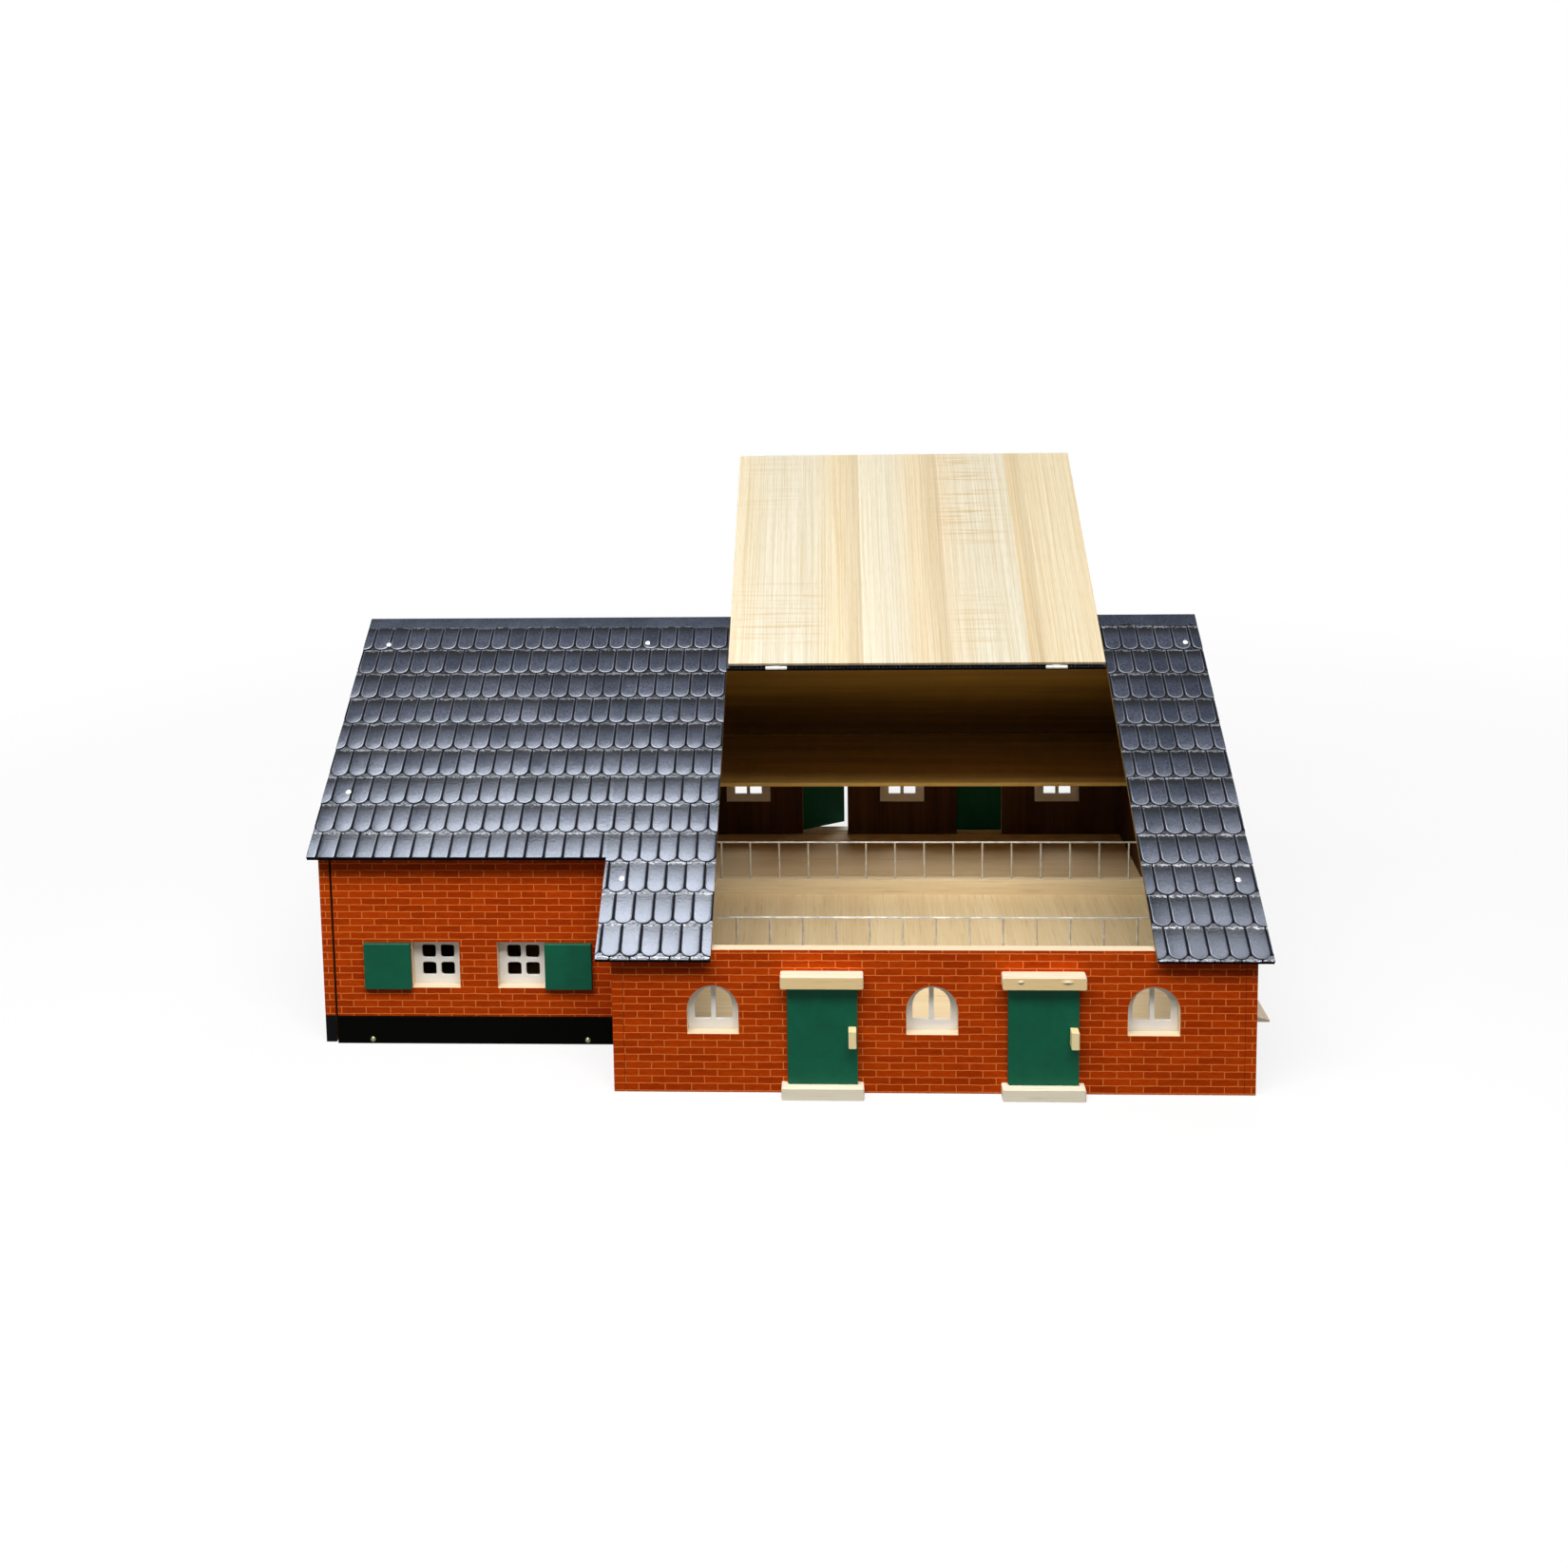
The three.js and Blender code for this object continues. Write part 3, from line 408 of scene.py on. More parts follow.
def brick_board(name, outward, start=BRICK_START, painted_foot=0.0):
    """A board with brick paper on its outer face and front edge; inside, raw board darkened as painted
    shade; pale sawn edges
    """
    material, tree, shader = new_material(name, 0.55, specular=0.03)
    coordinates = add_node(tree, "ShaderNodeTexCoord").outputs
    normal = coordinates["Normal"]
    place = parts_of(tree, coordinates["Object"])
    is_outer = facing(tree, normal, outward)
    faces_front = facing(tree, normal, (0, -1, 0))
    faces_y = math_node(tree, "MAXIMUM", faces_front, facing(tree, normal, (0, 1, 0)))
    x_share = product(tree, place["X"], faces_y)
    y_share = product(tree, place["Y"], math_node(tree, "SUBTRACT", 1.0, faces_y))
    along = math_node(tree, "ADD", x_share, y_share)
    plan = add_node(tree, "ShaderNodeCombineXYZ", None, {0: along, 1: place["Z"]}).outputs[0]
    shifted = mapped(tree, plan, location=(-start[0], 2 * BRICK_HEIGHT - start[1], 0))
    bricks = group_node(tree, BRICKS, {"Vector": shifted})
    spans_x = abs(outward[0]) < 0.5
    is_printed = is_outer if spans_x else math_node(tree, "MAXIMUM", is_outer, faces_y)
    upright = mapped(tree, coordinates["Object"], rotation=(0, math.radians(90), 0))
    # Raw board grain for the inner faces, darkened well below its own colour: painted shade
    inner_shade = group_node(tree, GRAIN, {
        "Vector": upright, "Fibre": 0.4,
        "Dark": (0.065, 0.028, 0.013, 1), "Light": (0.13, 0.06, 0.027, 1),
    })
    sawn_edge = (0.82, 0.66, 0.45)
    inward = tuple(-part for part in outward)
    is_inner = facing(tree, normal, inward)
    bare = mixed(tree, is_inner, sawn_edge, inner_shade.outputs["Color"])
    colour = mixed(tree, is_printed, bare, bricks.outputs["Color"])
    if painted_foot > 0:
        is_low = math_node(tree, "LESS_THAN", place["Z"], painted_foot)
        colour = mixed(tree, product(tree, is_low, is_printed), colour, (0.006, 0.006, 0.007))
    tree.links.new(colour, shader.inputs["Base Color"])
    set_bump(tree, shader, bricks.outputs["Mortar"], 0.1, 0.0002)
    return material


def slate_sheet():
    """Embossed tile sheet: dark blue-grey, painted shade on heads and walls, painted highlight on rims
    and creases
    """
    material, tree, shader = new_material("slate sheet", 0.2, specular=0.3)
    shader.inputs["Specular Tint"].default_value = (0.80, 0.87, 1.0, 1)
    place = object_place(tree)
    tone = add_node(tree, "ShaderNodeAttribute", {"attribute_name": "tone"}).outputs["Fac"]
    rise = add_node(tree, "ShaderNodeAttribute", {"attribute_name": "rise"}).outputs["Fac"]
    on_tile = add_node(tree, "ShaderNodeUVMap", {"uv_map": "tile"}).outputs["UV"]
    to_head = parts_of(tree, on_tile)["Y"]
    clouds = noise(tree, place, 38.0, 4.0, 0.6)
    mottle = noise(tree, place, 520.0, 3.0, 0.7)
    crinkle = noise(tree, mapped(tree, place, scale=(210, 330, 330)), 1.0, 3.0, 0.6, 1.2)

    # Tone of each tile, with painted shade at its head and on its walls down into the grooves
    mood = mixed(tree, 0.5, clouds, tone)
    base = ramp(tree, mood, [(0.25, (0.018, 0.023, 0.040)), (0.75, (0.046, 0.053, 0.080))])
    uneven = math_node(tree, "ADD", to_head, product(tree, clouds, 0.2))
    head_shade = spread(tree, uneven, 0.62, 0.96, 1.0, 0.02)
    shade = product(tree, spread(tree, rise, 0.78, 0.93, 0.02, 1.0), head_shade)
    spots = spread(tree, mottle, 0.3, 0.7, 0.35, 1.7)
    dull = mixed(tree, 1.0, mixed(tree, 1.0, base, spots, "MULTIPLY"), shade, "MULTIPLY")

    # Painted highlight along the rims, most of all round the tails
    on_rim = product(tree, spread(tree, rise, 0.88, 0.94), spread(tree, rise, 0.95, 1.0, 1.0, 0.0))
    tail_only = spread(tree, to_head, 0.2, 0.5, 1.0, 0.35)
    rim_highlight = product(tree, on_rim, tail_only, spread(tree, clouds, 0.35, 0.6, 0.3, 0.9))
    rimmed = mixed(tree, rim_highlight, dull, (0.34, 0.35, 0.40))

    # A painted highlight along a wavy crease at the heads, stronger low down on the roof where the
    # sheen is brightest
    wavy = math_node(tree, "ADD", to_head, product(tree, crinkle, 0.32))
    from_crease = math_node(tree, "ABSOLUTE", math_node(tree, "SUBTRACT", wavy, 1.15))
    creased = spread(tree, from_crease, 0.042, 0.018)
    low_down = spread(tree, parts_of(tree, place)["Z"], 0.14, 0.25, 1.0, 0.3)
    patches = product(tree, low_down, spread(tree, clouds, 0.36, 0.56, 0.5, 1.0))
    crease_highlight = product(tree, creased, patches, spread(tree, crinkle, 0.4, 0.5, 0.35, 1.0))
    colour = mixed(tree, crease_highlight, rimmed, (0.74, 0.76, 0.84))
    tree.links.new(colour, shader.inputs["Base Color"])

    depth = spread(tree, rise, 0.78, 0.93, 0.8, 0.0)
    gloss = spread(tree, clouds, 0.3, 0.7, 0.15, 0.22)
    tree.links.new(math_node(tree, "ADD", depth, gloss), shader.inputs["Roughness"])
    creases, grit = product(tree, crinkle, creased), product(tree, mottle, 0.16)
    set_bump(tree, shader, math_node(tree, "ADD", creases, grit), 1.0, 0.0007)
    return material


def groove_sheet():
    """The sheet between and below the tiles, near black: painted shade in the grooves"""
    material, tree, shader = new_material("groove shade sheet", 0.9, specular=0.0)
    clouds = noise(tree, object_place(tree), 300.0, 3.0, 0.6)
    colour = ramp(tree, clouds, [(0.3, (0.006, 0.007, 0.012)), (0.7, (0.016, 0.017, 0.024))])
    tree.links.new(colour, shader.inputs["Base Color"])
    return material


def plastic(name, colour, roughness):
    """Moulded plastic with a faint skin texture"""
    material, tree, shader = new_material(name, roughness)
    place = object_place(tree)
    skin = noise(tree, place, 1400.0, 2.0, 0.5)
    low = tuple(c * 0.96 for c in colour)
    clouded = ramp(tree, noise(tree, place, 45.0, 3.0), [(0.3, low), (0.7, colour)])
    tree.links.new(clouded, shader.inputs["Base Color"])
    set_bump(tree, shader, skin, 0.15, 0.0002)
    return material


def metal(name, colour, roughness, metallic=1.0):
    """Metal with slight changes of tone and gloss; dull zinc takes a lower metallic"""
    material, tree, shader = new_material(name, roughness, metallic=metallic)
    clouds = noise(tree, object_place(tree), 120.0, 3.0, 0.6)
    low = tuple(c * 0.72 for c in colour)
    tree.links.new(ramp(tree, clouds, [(0.35, low), (0.65, colour)]), shader.inputs["Base Color"])
    gloss = spread(tree, clouds, 0.3, 0.7, roughness - 0.08, roughness + 0.1)
    tree.links.new(gloss, shader.inputs["Roughness"])
    return material


def shade_front(material, front_shade, pips):
    """Darkens a block's front face as painted shade, and raises small filled nail heads on it, pale as
    a painted highlight
    """
    tree = material.node_tree
    shader = tree.nodes["Principled BSDF"]
    coordinates = add_node(tree, "ShaderNodeTexCoord").outputs
    colour = shader.inputs["Base Color"].links[0].from_socket
    on_front = facing(tree, coordinates["Normal"], (0, -1, 0), 0.7)
    front_shaded = mixed(tree, on_front, colour, mixed(tree, 1.0, colour, front_shade, "MULTIPLY"))
    height = 0.0
    for x, z, half, tall in pips:
        scale = (1 / half, 0, 1 / tall)
        location = (-x / half, 0, -z / tall)
        centred = mapped(tree, coordinates["Object"], scale=scale, location=location)
        distance = vector_node(tree, "LENGTH", {0: centred})["Value"]
        dome = add_node(tree, "ShaderNodeMapRange", {"interpolation_type": "SMOOTHSTEP"}, {
            "Value": distance, "From Min": 0.0, "From Max": 1.0, "To Min": 1.0, "To Max": 0.0,
        }).outputs["Result"]
        height = math_node(tree, "ADD", height, dome)
    # The nail heads are mixed towards pale cream: a painted highlight
    pip_highlight = spread(tree, height, 0.2, 0.8, 0.0, 0.8)
    tree.links.new(mixed(tree, pip_highlight, front_shaded, (1.0, 0.93, 0.72)), shader.inputs["Base Color"])
    grained = shader.inputs["Normal"].links[0].from_socket
    inputs = {"Height": height, "Strength": 1.0, "Distance": 0.001, "Normal": grained}
    raised = add_node(tree, "ShaderNodeBump", None, inputs)
    tree.links.new(raised.outputs["Normal"], shader.inputs["Normal"])


def soft_box(tree, across, along, limits):
    """A mask that is one inside a rectangle of the plan and fades out at its rim"""
    left, right, lower, upper = limits
    sides = ((across, left, 1), (across, right, -1), (along, lower, 1), (along, upper, -1))
    return product(tree, *(
        spread(tree, value, limit - inward * RIPPLE_BLUR, limit + inward * RIPPLE_BLUR)
        for value, limit, inward in sides
    ))


def planked_underside():
    """The flap's laminate: four planks side by side, pale and tan, with ripple figure in some places"""
    material, tree, shader = new_material("planked laminate", 0.42, specular=0.3)
    plan = add_node(tree, "ShaderNodeUVMap", {"uv_map": "plan"}).outputs["UV"]
    parts = parts_of(tree, plan)
    across, along = parts["X"], parts["Y"]
    sway = noise(tree, mapped(tree, plan, scale=(30, 5, 1)), 1.0, 1.0)
    wander = product(tree, math_node(tree, "SUBTRACT", sway, 0.5), 0.003)
    bent = math_node(tree, "ADD", across, wander)
    streaky = add_node(tree, "ShaderNodeCombineXYZ", None, {0: bent, 1: along}).outputs[0]
    bands = noise(tree, mapped(tree, streaky, scale=(120, 1.2, 1)), 1.0, 2.0, 0.6)
    lines = noise(tree, mapped(tree, streaky, scale=(640, 4.5, 1)), 1.0, 2.0, 0.55)
    pores = noise(tree, mapped(tree, plan, scale=(1500, 60, 1)), 1.0, 1.0)
    colour = ramp(tree, spread(tree, across, -HATCH_HALF, HATCH_HALF), UNDERSIDE_TONES)
    for value, low, high, darkest in (
        (bands, 0.34, 0.62, (0.96, 0.93, 0.88)), (lines, 0.36, 0.6, (0.87, 0.81, 0.70)),
        (pores, 0.3, 0.5, (0.93, 0.90, 0.84)),
    ):
        stain = ramp(tree, value, [(low, darkest), (high, (1, 1, 1))])
        colour = mixed(tree, 1.0, colour, stain, "MULTIPLY")
    ripple = noise(tree, mapped(tree, plan, scale=(9, 300, 1)), 1.0, 2.0, 0.6, 0.4)
    bars = ramp(tree, ripple, [(0.38, (0.88, 0.76, 0.58)), (0.5, (1, 1, 1))])
    for limits, strength in UNDERSIDE_RIPPLES:
        share = product(tree, soft_box(tree, across, along, limits), strength)
        colour = mixed(tree, share, colour, mixed(tree, 1.0, colour, bars, "MULTIPLY"))
    tree.links.new(colour, shader.inputs["Base Color"])
    set_bump(tree, shader, lines, 0.08, 0.0002)
    return material


brick_front = brick_board("brick board front", (0, -1, 0))
brick_wing = brick_board("brick board wing", (0, -1, 0), start=WING_BRICK_START)
brick_rear = brick_board("brick board rear", (0, 1, 0))
brick_left = brick_board("brick board left", (-1, 0, 0), painted_foot=PAINTED_FOOT)
brick_partition = brick_board("brick board partition", (-1, 0, 0))
brick_right = brick_board("brick board right", (1, 0, 0))
slate = slate_sheet()
groove = groove_sheet()
planks = planked_underside()
roof_wood = wood("roof board", (0.25, 0.13, 0.016), (0.43, 0.25, 0.042), fibre=0.35)
loft_wood = wood("loft board", (0.55, 0.31, 0.06), (0.78, 0.50, 0.13))
beam_wood = wood("beam", (0.42, 0.25, 0.11), (0.62, 0.42, 0.21), fibre=0.5)
floor_wood = wood("floor board", (0.78, 0.57, 0.30), (0.94, 0.76, 0.47))
deck_wood = wood("deck board", (0.73, 0.53, 0.27), (0.90, 0.72, 0.43), along="Y", fibre=0.5)
kerb_wood = wood("kerb", (0.70, 0.53, 0.30), (0.88, 0.74, 0.48), fibre=0.5)
ramp_wood = wood("ramp board", (0.70, 0.56, 0.38), (0.88, 0.76, 0.58), along="Y", fibre=0.5)
sill_wood = wood("sill block", (0.90, 0.79, 0.58), (0.98, 0.91, 0.74), fibre=0.3, roughness=0.5)
lintel_wood = wood("lintel block", (0.88, 0.72, 0.50), (0.98, 0.85, 0.66), fibre=0.3, roughness=0.5)
shade_front(lintel_wood, LINTEL_FRONT_SHADE, LINTEL_PIPS)
handle_wood = wood(
    "handle wood", (0.92, 0.70, 0.34), (1.0, 0.86, 0.48), along="Z", fibre=0.3, roughness=0.5,
)
green = paint("green paint", (0.003, 0.100, 0.050), 0.5, specular=0.15)
black = paint("black paint", (0.001, 0.0013, 0.0008), 0.6, specular=0.02)
white = plastic("white plastic", (0.86, 0.83, 0.78), 0.4)
hinge_white = plastic("white enamel", (0.80, 0.79, 0.76), 0.35)
wire_metal = metal("galvanised wire", (0.80, 0.78, 0.74), 0.38, metallic=0.6)
screw_metal = metal("bright screw", (0.78, 0.78, 0.80), 0.35)
old_screw_metal = metal("dulled screw", (0.22, 0.21, 0.13), 0.45)


# Pieces

def new_piece(name, bm, materials, body, smooth=True):
    """A finished piece from its bmesh, riding on its body"""
    mesh = bpy.data.meshes.new(name)
    bm.to_mesh(mesh)
    bm.free()
    for material in materials:
        mesh.materials.append(material)
    if smooth:
        mesh.shade_smooth()
    piece = bpy.data.objects.new(name, mesh)
    bpy.context.scene.collection.objects.link(piece)
    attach(piece, body)
    return piece


def soften(piece, width):
    """Rounds the sharp edges of a piece"""
    bevel = piece.modifiers.new("soft edges", "BEVEL")
    bevel.width = width
    bevel.segments = 2
    bevel.limit_method = "ANGLE"
    bevel.angle_limit = EDGE_ANGLE
    bevel.harden_normals = True


def dress(names, material, edge=0.0):
    """Gives CAD nodes their finish, and their sharp edges a small rounding"""
    for name in names:
        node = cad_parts[name]
        node.data.materials.clear()
        node.data.materials.append(material)
        if edge > 0:
            weld = node.modifiers.new("weld", "WELD")
            weld.merge_threshold = WELD * 10
            soften(node, edge)


def score(bm, point, direction, clear_outer=False):
    """Divides the faces that a plane crosses, may remove what is past it, and returns the new edges"""
    everything = bm.verts[:] + bm.edges[:] + bm.faces[:]
    cut = bmesh.ops.bisect_plane(
        bm, geom=everything, dist=WELD, plane_co=point, plane_no=direction, clear_outer=clear_outer,
    )
    return [item for item in cut["geom_cut"] if isinstance(item, bmesh.types.BMEdge)]


def cut_away(bm, point, direction):
    """Removes what lies past a plane and closes the cut"""
    rims = score(bm, point, direction, clear_outer=True)
    bmesh.ops.holes_fill(bm, edges=[edge for edge in rims if edge.is_boundary])


def roof_board(name, plane, underside, body):
    """The board of a roof panel: the CAD node cut off below its tiles, its place kept as a UV map"""
    bm = bmesh.new()
    bm.from_mesh(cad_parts[name].data)
    bmesh.ops.remove_doubles(bm, verts=bm.verts, dist=WELD)
    bmesh.ops.transform(bm, matrix=plane.inverted(), verts=bm.verts)
    cut_away(bm, -Z_AXIS * SKIN, Z_AXIS)
    bmesh.ops.dissolve_limit(bm, angle_limit=math.radians(1), verts=bm.verts, edges=bm.edges)
    bmesh.ops.triangulate(bm, faces=[face for face in bm.faces if len(face.verts) > 4])
    bm.normal_update()
    layer = bm.loops.layers.uv.new("plan")
    for face in bm.faces:
        # Faces under the tiles take the groove sheet, near black as painted shade
        is_covered = face.normal.z > 0.5 or face.normal.y < -0.5
        face.material_index = 1 if is_covered else 0
        for loop in face.loops:
            loop[layer].uv = loop.vert.co.xy
    bmesh.ops.transform(bm, matrix=plane, verts=bm.verts)
    piece = new_piece(name + "_board", bm, [underside, groove], body, smooth=False)
    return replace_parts(piece, name)


def tile_outline(head):
    """Half an ellipse for the tail, and straight sides up to the head"""
    half = (TILE_WIDTH - TILE_GROOVE) / 2
    points = []
    for step in range(TILE_TAIL_STEPS + 1):
        angle = math.pi * step / TILE_TAIL_STEPS
        points.append((-half * math.cos(angle), TILE_TAIL_DEPTH * (1 - math.sin(angle))))
    return [*points, (half, head), (-half, head)]


def tile_height(share, relief):
    """How thick a tile is at a share of its length: it thins to its head, under the next tails"""
    return relief * (1 - (1 - HEAD_SHARE) * min(share, 1) ** TOP_CURVE)


def tile_template(step, relief):
    """One tile, its tail at the origin: upright sides, a rounded rim, a top that leans to the head"""
    bm = bmesh.new()
    outline = tile_outline(step + TILE_HEAD_LAP)
    base = bm.faces.new([bm.verts.new((x, y, 0)) for x, y in outline])
    raised = bmesh.ops.extrude_face_region(bm, geom=[base], use_keep_orig=True)
    top_verts = [item for item in raised["geom"] if isinstance(item, bmesh.types.BMVert)]
    bmesh.ops.translate(bm, verts=top_verts, vec=(0, 0, WALL_SHARE))
    top = next(item for item in raised["geom"] if isinstance(item, bmesh.types.BMFace))
    for width, share in RIM_RINGS:
        bmesh.ops.inset_region(bm, faces=[top], thickness=width, depth=share)
    for share in TOP_CUTS:
        score(bm, (0, step * share, 0), (0, 1, 0))
    bmesh.ops.recalc_face_normals(bm, faces=bm.faces)
    bm.verts.layers.float.new("tone")
    rise = bm.verts.layers.float.new("rise")
    for vert in bm.verts:
        vert[rise] = vert.co.z
        is_raised = vert.co.z > WELD
        vert.co.z = vert.co.z * tile_height(vert.co.y / step, relief) if is_raised else -SKIN
    layer = bm.loops.layers.uv.new("tile")
    for face in bm.faces:
        for loop in face.loops:
            loop[layer].uv = (loop.vert.co.x / TILE_WIDTH + 0.5, loop.vert.co.y / step)
    mesh = bpy.data.meshes.new("tile template")
    bm.to_mesh(mesh)
    bm.free()
    return mesh


def lay_tiles(bm, region, sheet, chance):
    """Courses of tiles over one rectangle of a slope, cut to its edges"""
    left, right, lower, upper = region
    step, first_tail, column_shift, relief = sheet
    template = tile_template(step, relief)
    laid = bmesh.new()
    highest = slope_length - RIDGE_BAND - step / 2
    columns = range(math.floor(left / TILE_WIDTH) - 1, math.ceil(right / TILE_WIDTH) + 1)
    index = -1
    while first_tail + index * step < min(upper, highest):
        tail = first_tail + index * step
        shift = index % 2 / 2
        if tail + step + TILE_HEAD_LAP > lower:
            for column in columns:
                centre = (column + shift + 0.5) * TILE_WIDTH + column_shift
                if left - TILE_WIDTH < centre < right + TILE_WIDTH:
                    lay_tile(laid, template, (centre, tail, 0), chance)
        index += 1
    for point, direction in (
        ((left, 0, 0), (-1, 0, 0)), ((right, 0, 0), (1, 0, 0)),
        ((0, lower, 0), (0, -1, 0)), ((0, upper, 0), (0, 1, 0)),
    ):
        cut_away(laid, point, direction)
    joined = bpy.data.meshes.new("region")
    laid.to_mesh(joined)
    laid.free()
    bm.from_mesh(joined)
    bpy.data.meshes.remove(joined)
    bpy.data.meshes.remove(template)


def lay_tile(laid, template, place, chance):
    """One tile in its place, very slightly askew, with a tone of its own"""
    first = len(laid.verts)
    laid.from_mesh(template)
    laid.verts.ensure_lookup_table()
    verts = laid.verts[first:]
    lean = Matrix.Rotation(chance.gauss(0, TILE_LEAN), 4, "X")
    roll = Matrix.Rotation(chance.gauss(0, TILE_ROLL), 4, "Y")
    bmesh.ops.transform(laid, matrix=Matrix.Translation(place) @ lean @ roll, verts=verts)
    tone = laid.verts.layers.float["tone"]
    value = chance.random()
    for vert in verts:
        vert[tone] = value


def lay_ridge_band(bm, left, right):
    """The smooth strip along the ridge, into which the heads of the top course run out"""
    lower = slope_length - RIDGE_BAND
    upper = slope_length + 2 * RIDGE_BAND_RISE
    profile = [
        (lower, HEAD_SHARE * BOLD_RELIEF), (lower, -SKIN), (upper, -SKIN), (upper, RIDGE_BAND_RISE),
        (lower + RIDGE_BAND_SLOPE, RIDGE_BAND_RISE),
    ]
    end = bm.faces.new([bm.verts.new((left, y, z)) for y, z in profile])
    drawn = bmesh.ops.extrude_face_region(bm, geom=[end], use_keep_orig=True)
    verts = [item for item in drawn["geom"] if isinstance(item, bmesh.types.BMVert)]
    bmesh.ops.translate(bm, verts=verts, vec=(right - left, 0, 0))
    faces = list({face for vert in verts + end.verts[:] for face in vert.link_faces})
    bmesh.ops.recalc_face_normals(bm, faces=faces)
    layer = bm.loops.layers.uv["tile"]
    rise = bm.verts.layers.float["rise"]
    middle_of_tile = (0.5, 0.35)
    for face in faces:
        for loop in face.loops:
            loop[layer].uv = middle_of_tile
            loop.vert[rise] = 1.0


def tile_sheet(name, plane, regions, sheet, band, body, chance, mitre=0):
    """The embossed sheet of one roof panel; mitre is -1 or 1 for the side of the ridge that it keeps"""
    bm = bmesh.new()
    for region in regions:
        lay_tiles(bm, region, sheet, chance)
    if band:
        lay_ridge_band(bm, *band)
    bmesh.ops.transform(bm, matrix=plane, verts=bm.verts)
    if mitre:
        cut_away(bm, (0, mitre * PANEL_JOINT / 4, 0), (0, -mitre, 0))
    piece = new_piece(name + "_tiles", bm, [slate], body)
    piece.data.set_sharp_from_angle(angle=TILE_SHARP_ANGLE)


def hinge_regions(half, lower, upper):
    """The stretches beside and between the hinge leaves"""
    gap = HINGE_HALF_WIDTH + PANEL_JOINT / 2
    left, right = HINGE_CENTRES
    edges = [(-half, left - gap), (left + gap, right - gap), (right + gap, half)]
    return [(start, end, lower, upper) for start, end in edges]


def make_roof():
    """Boards and tile sheets of the four fixed panels and of the flap"""
    chance = random.Random(TILE_SEED)
    wing_eave = (EAVE_RUN - WING_EAVE_RUN) / math.cos(ROOF_PITCH)
    over = slope_length - RIDGE_BAND + RIDGE_BAND_SLOPE / 2
    for panel in ("left", "right", "ridge"):
        roof_board(f"roof_panel_{panel}", front_slope, roof_wood, "barn")
    roof_board("roof_panel_rear", rear_slope, roof_wood, "barn")
    roof_board("roof_flap", folded_slope, planks, "flap")

    regions = [(ROOF_LEFT, ROOF_STEP, wing_eave, over), (ROOF_STEP, -HATCH_HALF, 0, over)]
    band = (ROOF_LEFT, -HATCH_HALF)
    tile_sheet("roof_panel_left", front_slope, regions, LEFT_SHEET, band, "barn", chance, -1)

    band = (HATCH_HALF, ROOF_RIGHT)
    regions = [(*band, 0, over)]
    tile_sheet("roof_panel_right", front_slope, regions, RIGHT_SHEET, band, "barn", chance, -1)

    band = (-ROOF_RIGHT, -ROOF_LEFT)
    regions = [(*band, 0, over)]
    tile_sheet("roof_panel_rear", rear_slope, regions, REAR_SHEET, band, "barn", chance, 1)

    half = HATCH_HALF - PANEL_JOINT
    band = (-half, half)
    regions = hinge_regions(half, hinge_line + FLAP_HINGE_GAP, hinge_line + HINGE_RECESS)
    regions.append((*band, hinge_line + HINGE_RECESS, over))
    tile_sheet("roof_panel_ridge", front_slope, regions, FLAP_SHEET, band, "barn", chance, -1)

    half = HATCH_HALF - FLAP_KERF
    regions = hinge_regions(half, hinge_line - HINGE_RECESS, hinge_line - FLAP_HINGE_GAP)
    regions.append((-half, half, 0, hinge_line - HINGE_RECESS))
    tile_sheet("roof_flap", folded_slope, regions, FLAP_SHEET, None, "flap", chance)


def screw_head(radius, rise):
    """A domed head with a crossed recess, in the ring it pressed into the sheet, which is dark as
    painted shade; its top is along +Z
    """
    bm = bmesh.new()
    profile = [
        (radius * 1.5, 0), (radius * 1.42, rise * 0.2), (radius, rise * 0.15),
        (radius * 0.98, rise * 0.4), (radius * 0.8, rise * 0.8), (radius * 0.5, rise), (0, rise),
    ]
    points = [bm.verts.new((x, 0, z)) for x, z in profile]
    edges = [bm.edges.new(pair) for pair in zip(points, points[1:])]
    bmesh.ops.spin(
        bm, geom=points + edges, angle=math.tau, steps=SCREW_SIDES, axis=(0, 0, 1), cent=(0, 0, 0),
        use_merge=True,
    )
    bmesh.ops.remove_doubles(bm, verts=bm.verts, dist=WELD)
    bmesh.ops.holes_fill(bm, edges=[edge for edge in bm.edges if edge.is_boundary])
    half = SCREW_SLOT_WIDTH / 2
    for direction in ((1, 0, 0), (-1, 0, 0), (0, 1, 0), (0, -1, 0)):
        score(bm, Vector(direction) * half, direction)
    slots = [
        face for face in bm.faces
        if is_in_slot(face.calc_center_median(), half, radius * 0.5, rise)
    ]
    bmesh.ops.inset_region(
        bm, faces=slots, thickness=0, depth=-SCREW_SLOT_DEPTH, use_even_offset=False,
    )
    bmesh.ops.recalc_face_normals(bm, faces=bm.faces)
    for face in bm.faces:
        face.material_index = 1 if face.calc_center_median().xy.length > radius else 0
    return bm


def is_in_slot(centre, half, reach, rise):
    """Whether a face of a screw head lies in one of the two crossed slots"""
    is_in_cross = min(abs(centre.x), abs(centre.y)) < half
    return is_in_cross and centre.z > rise * 0.9 and centre.xy.length < reach


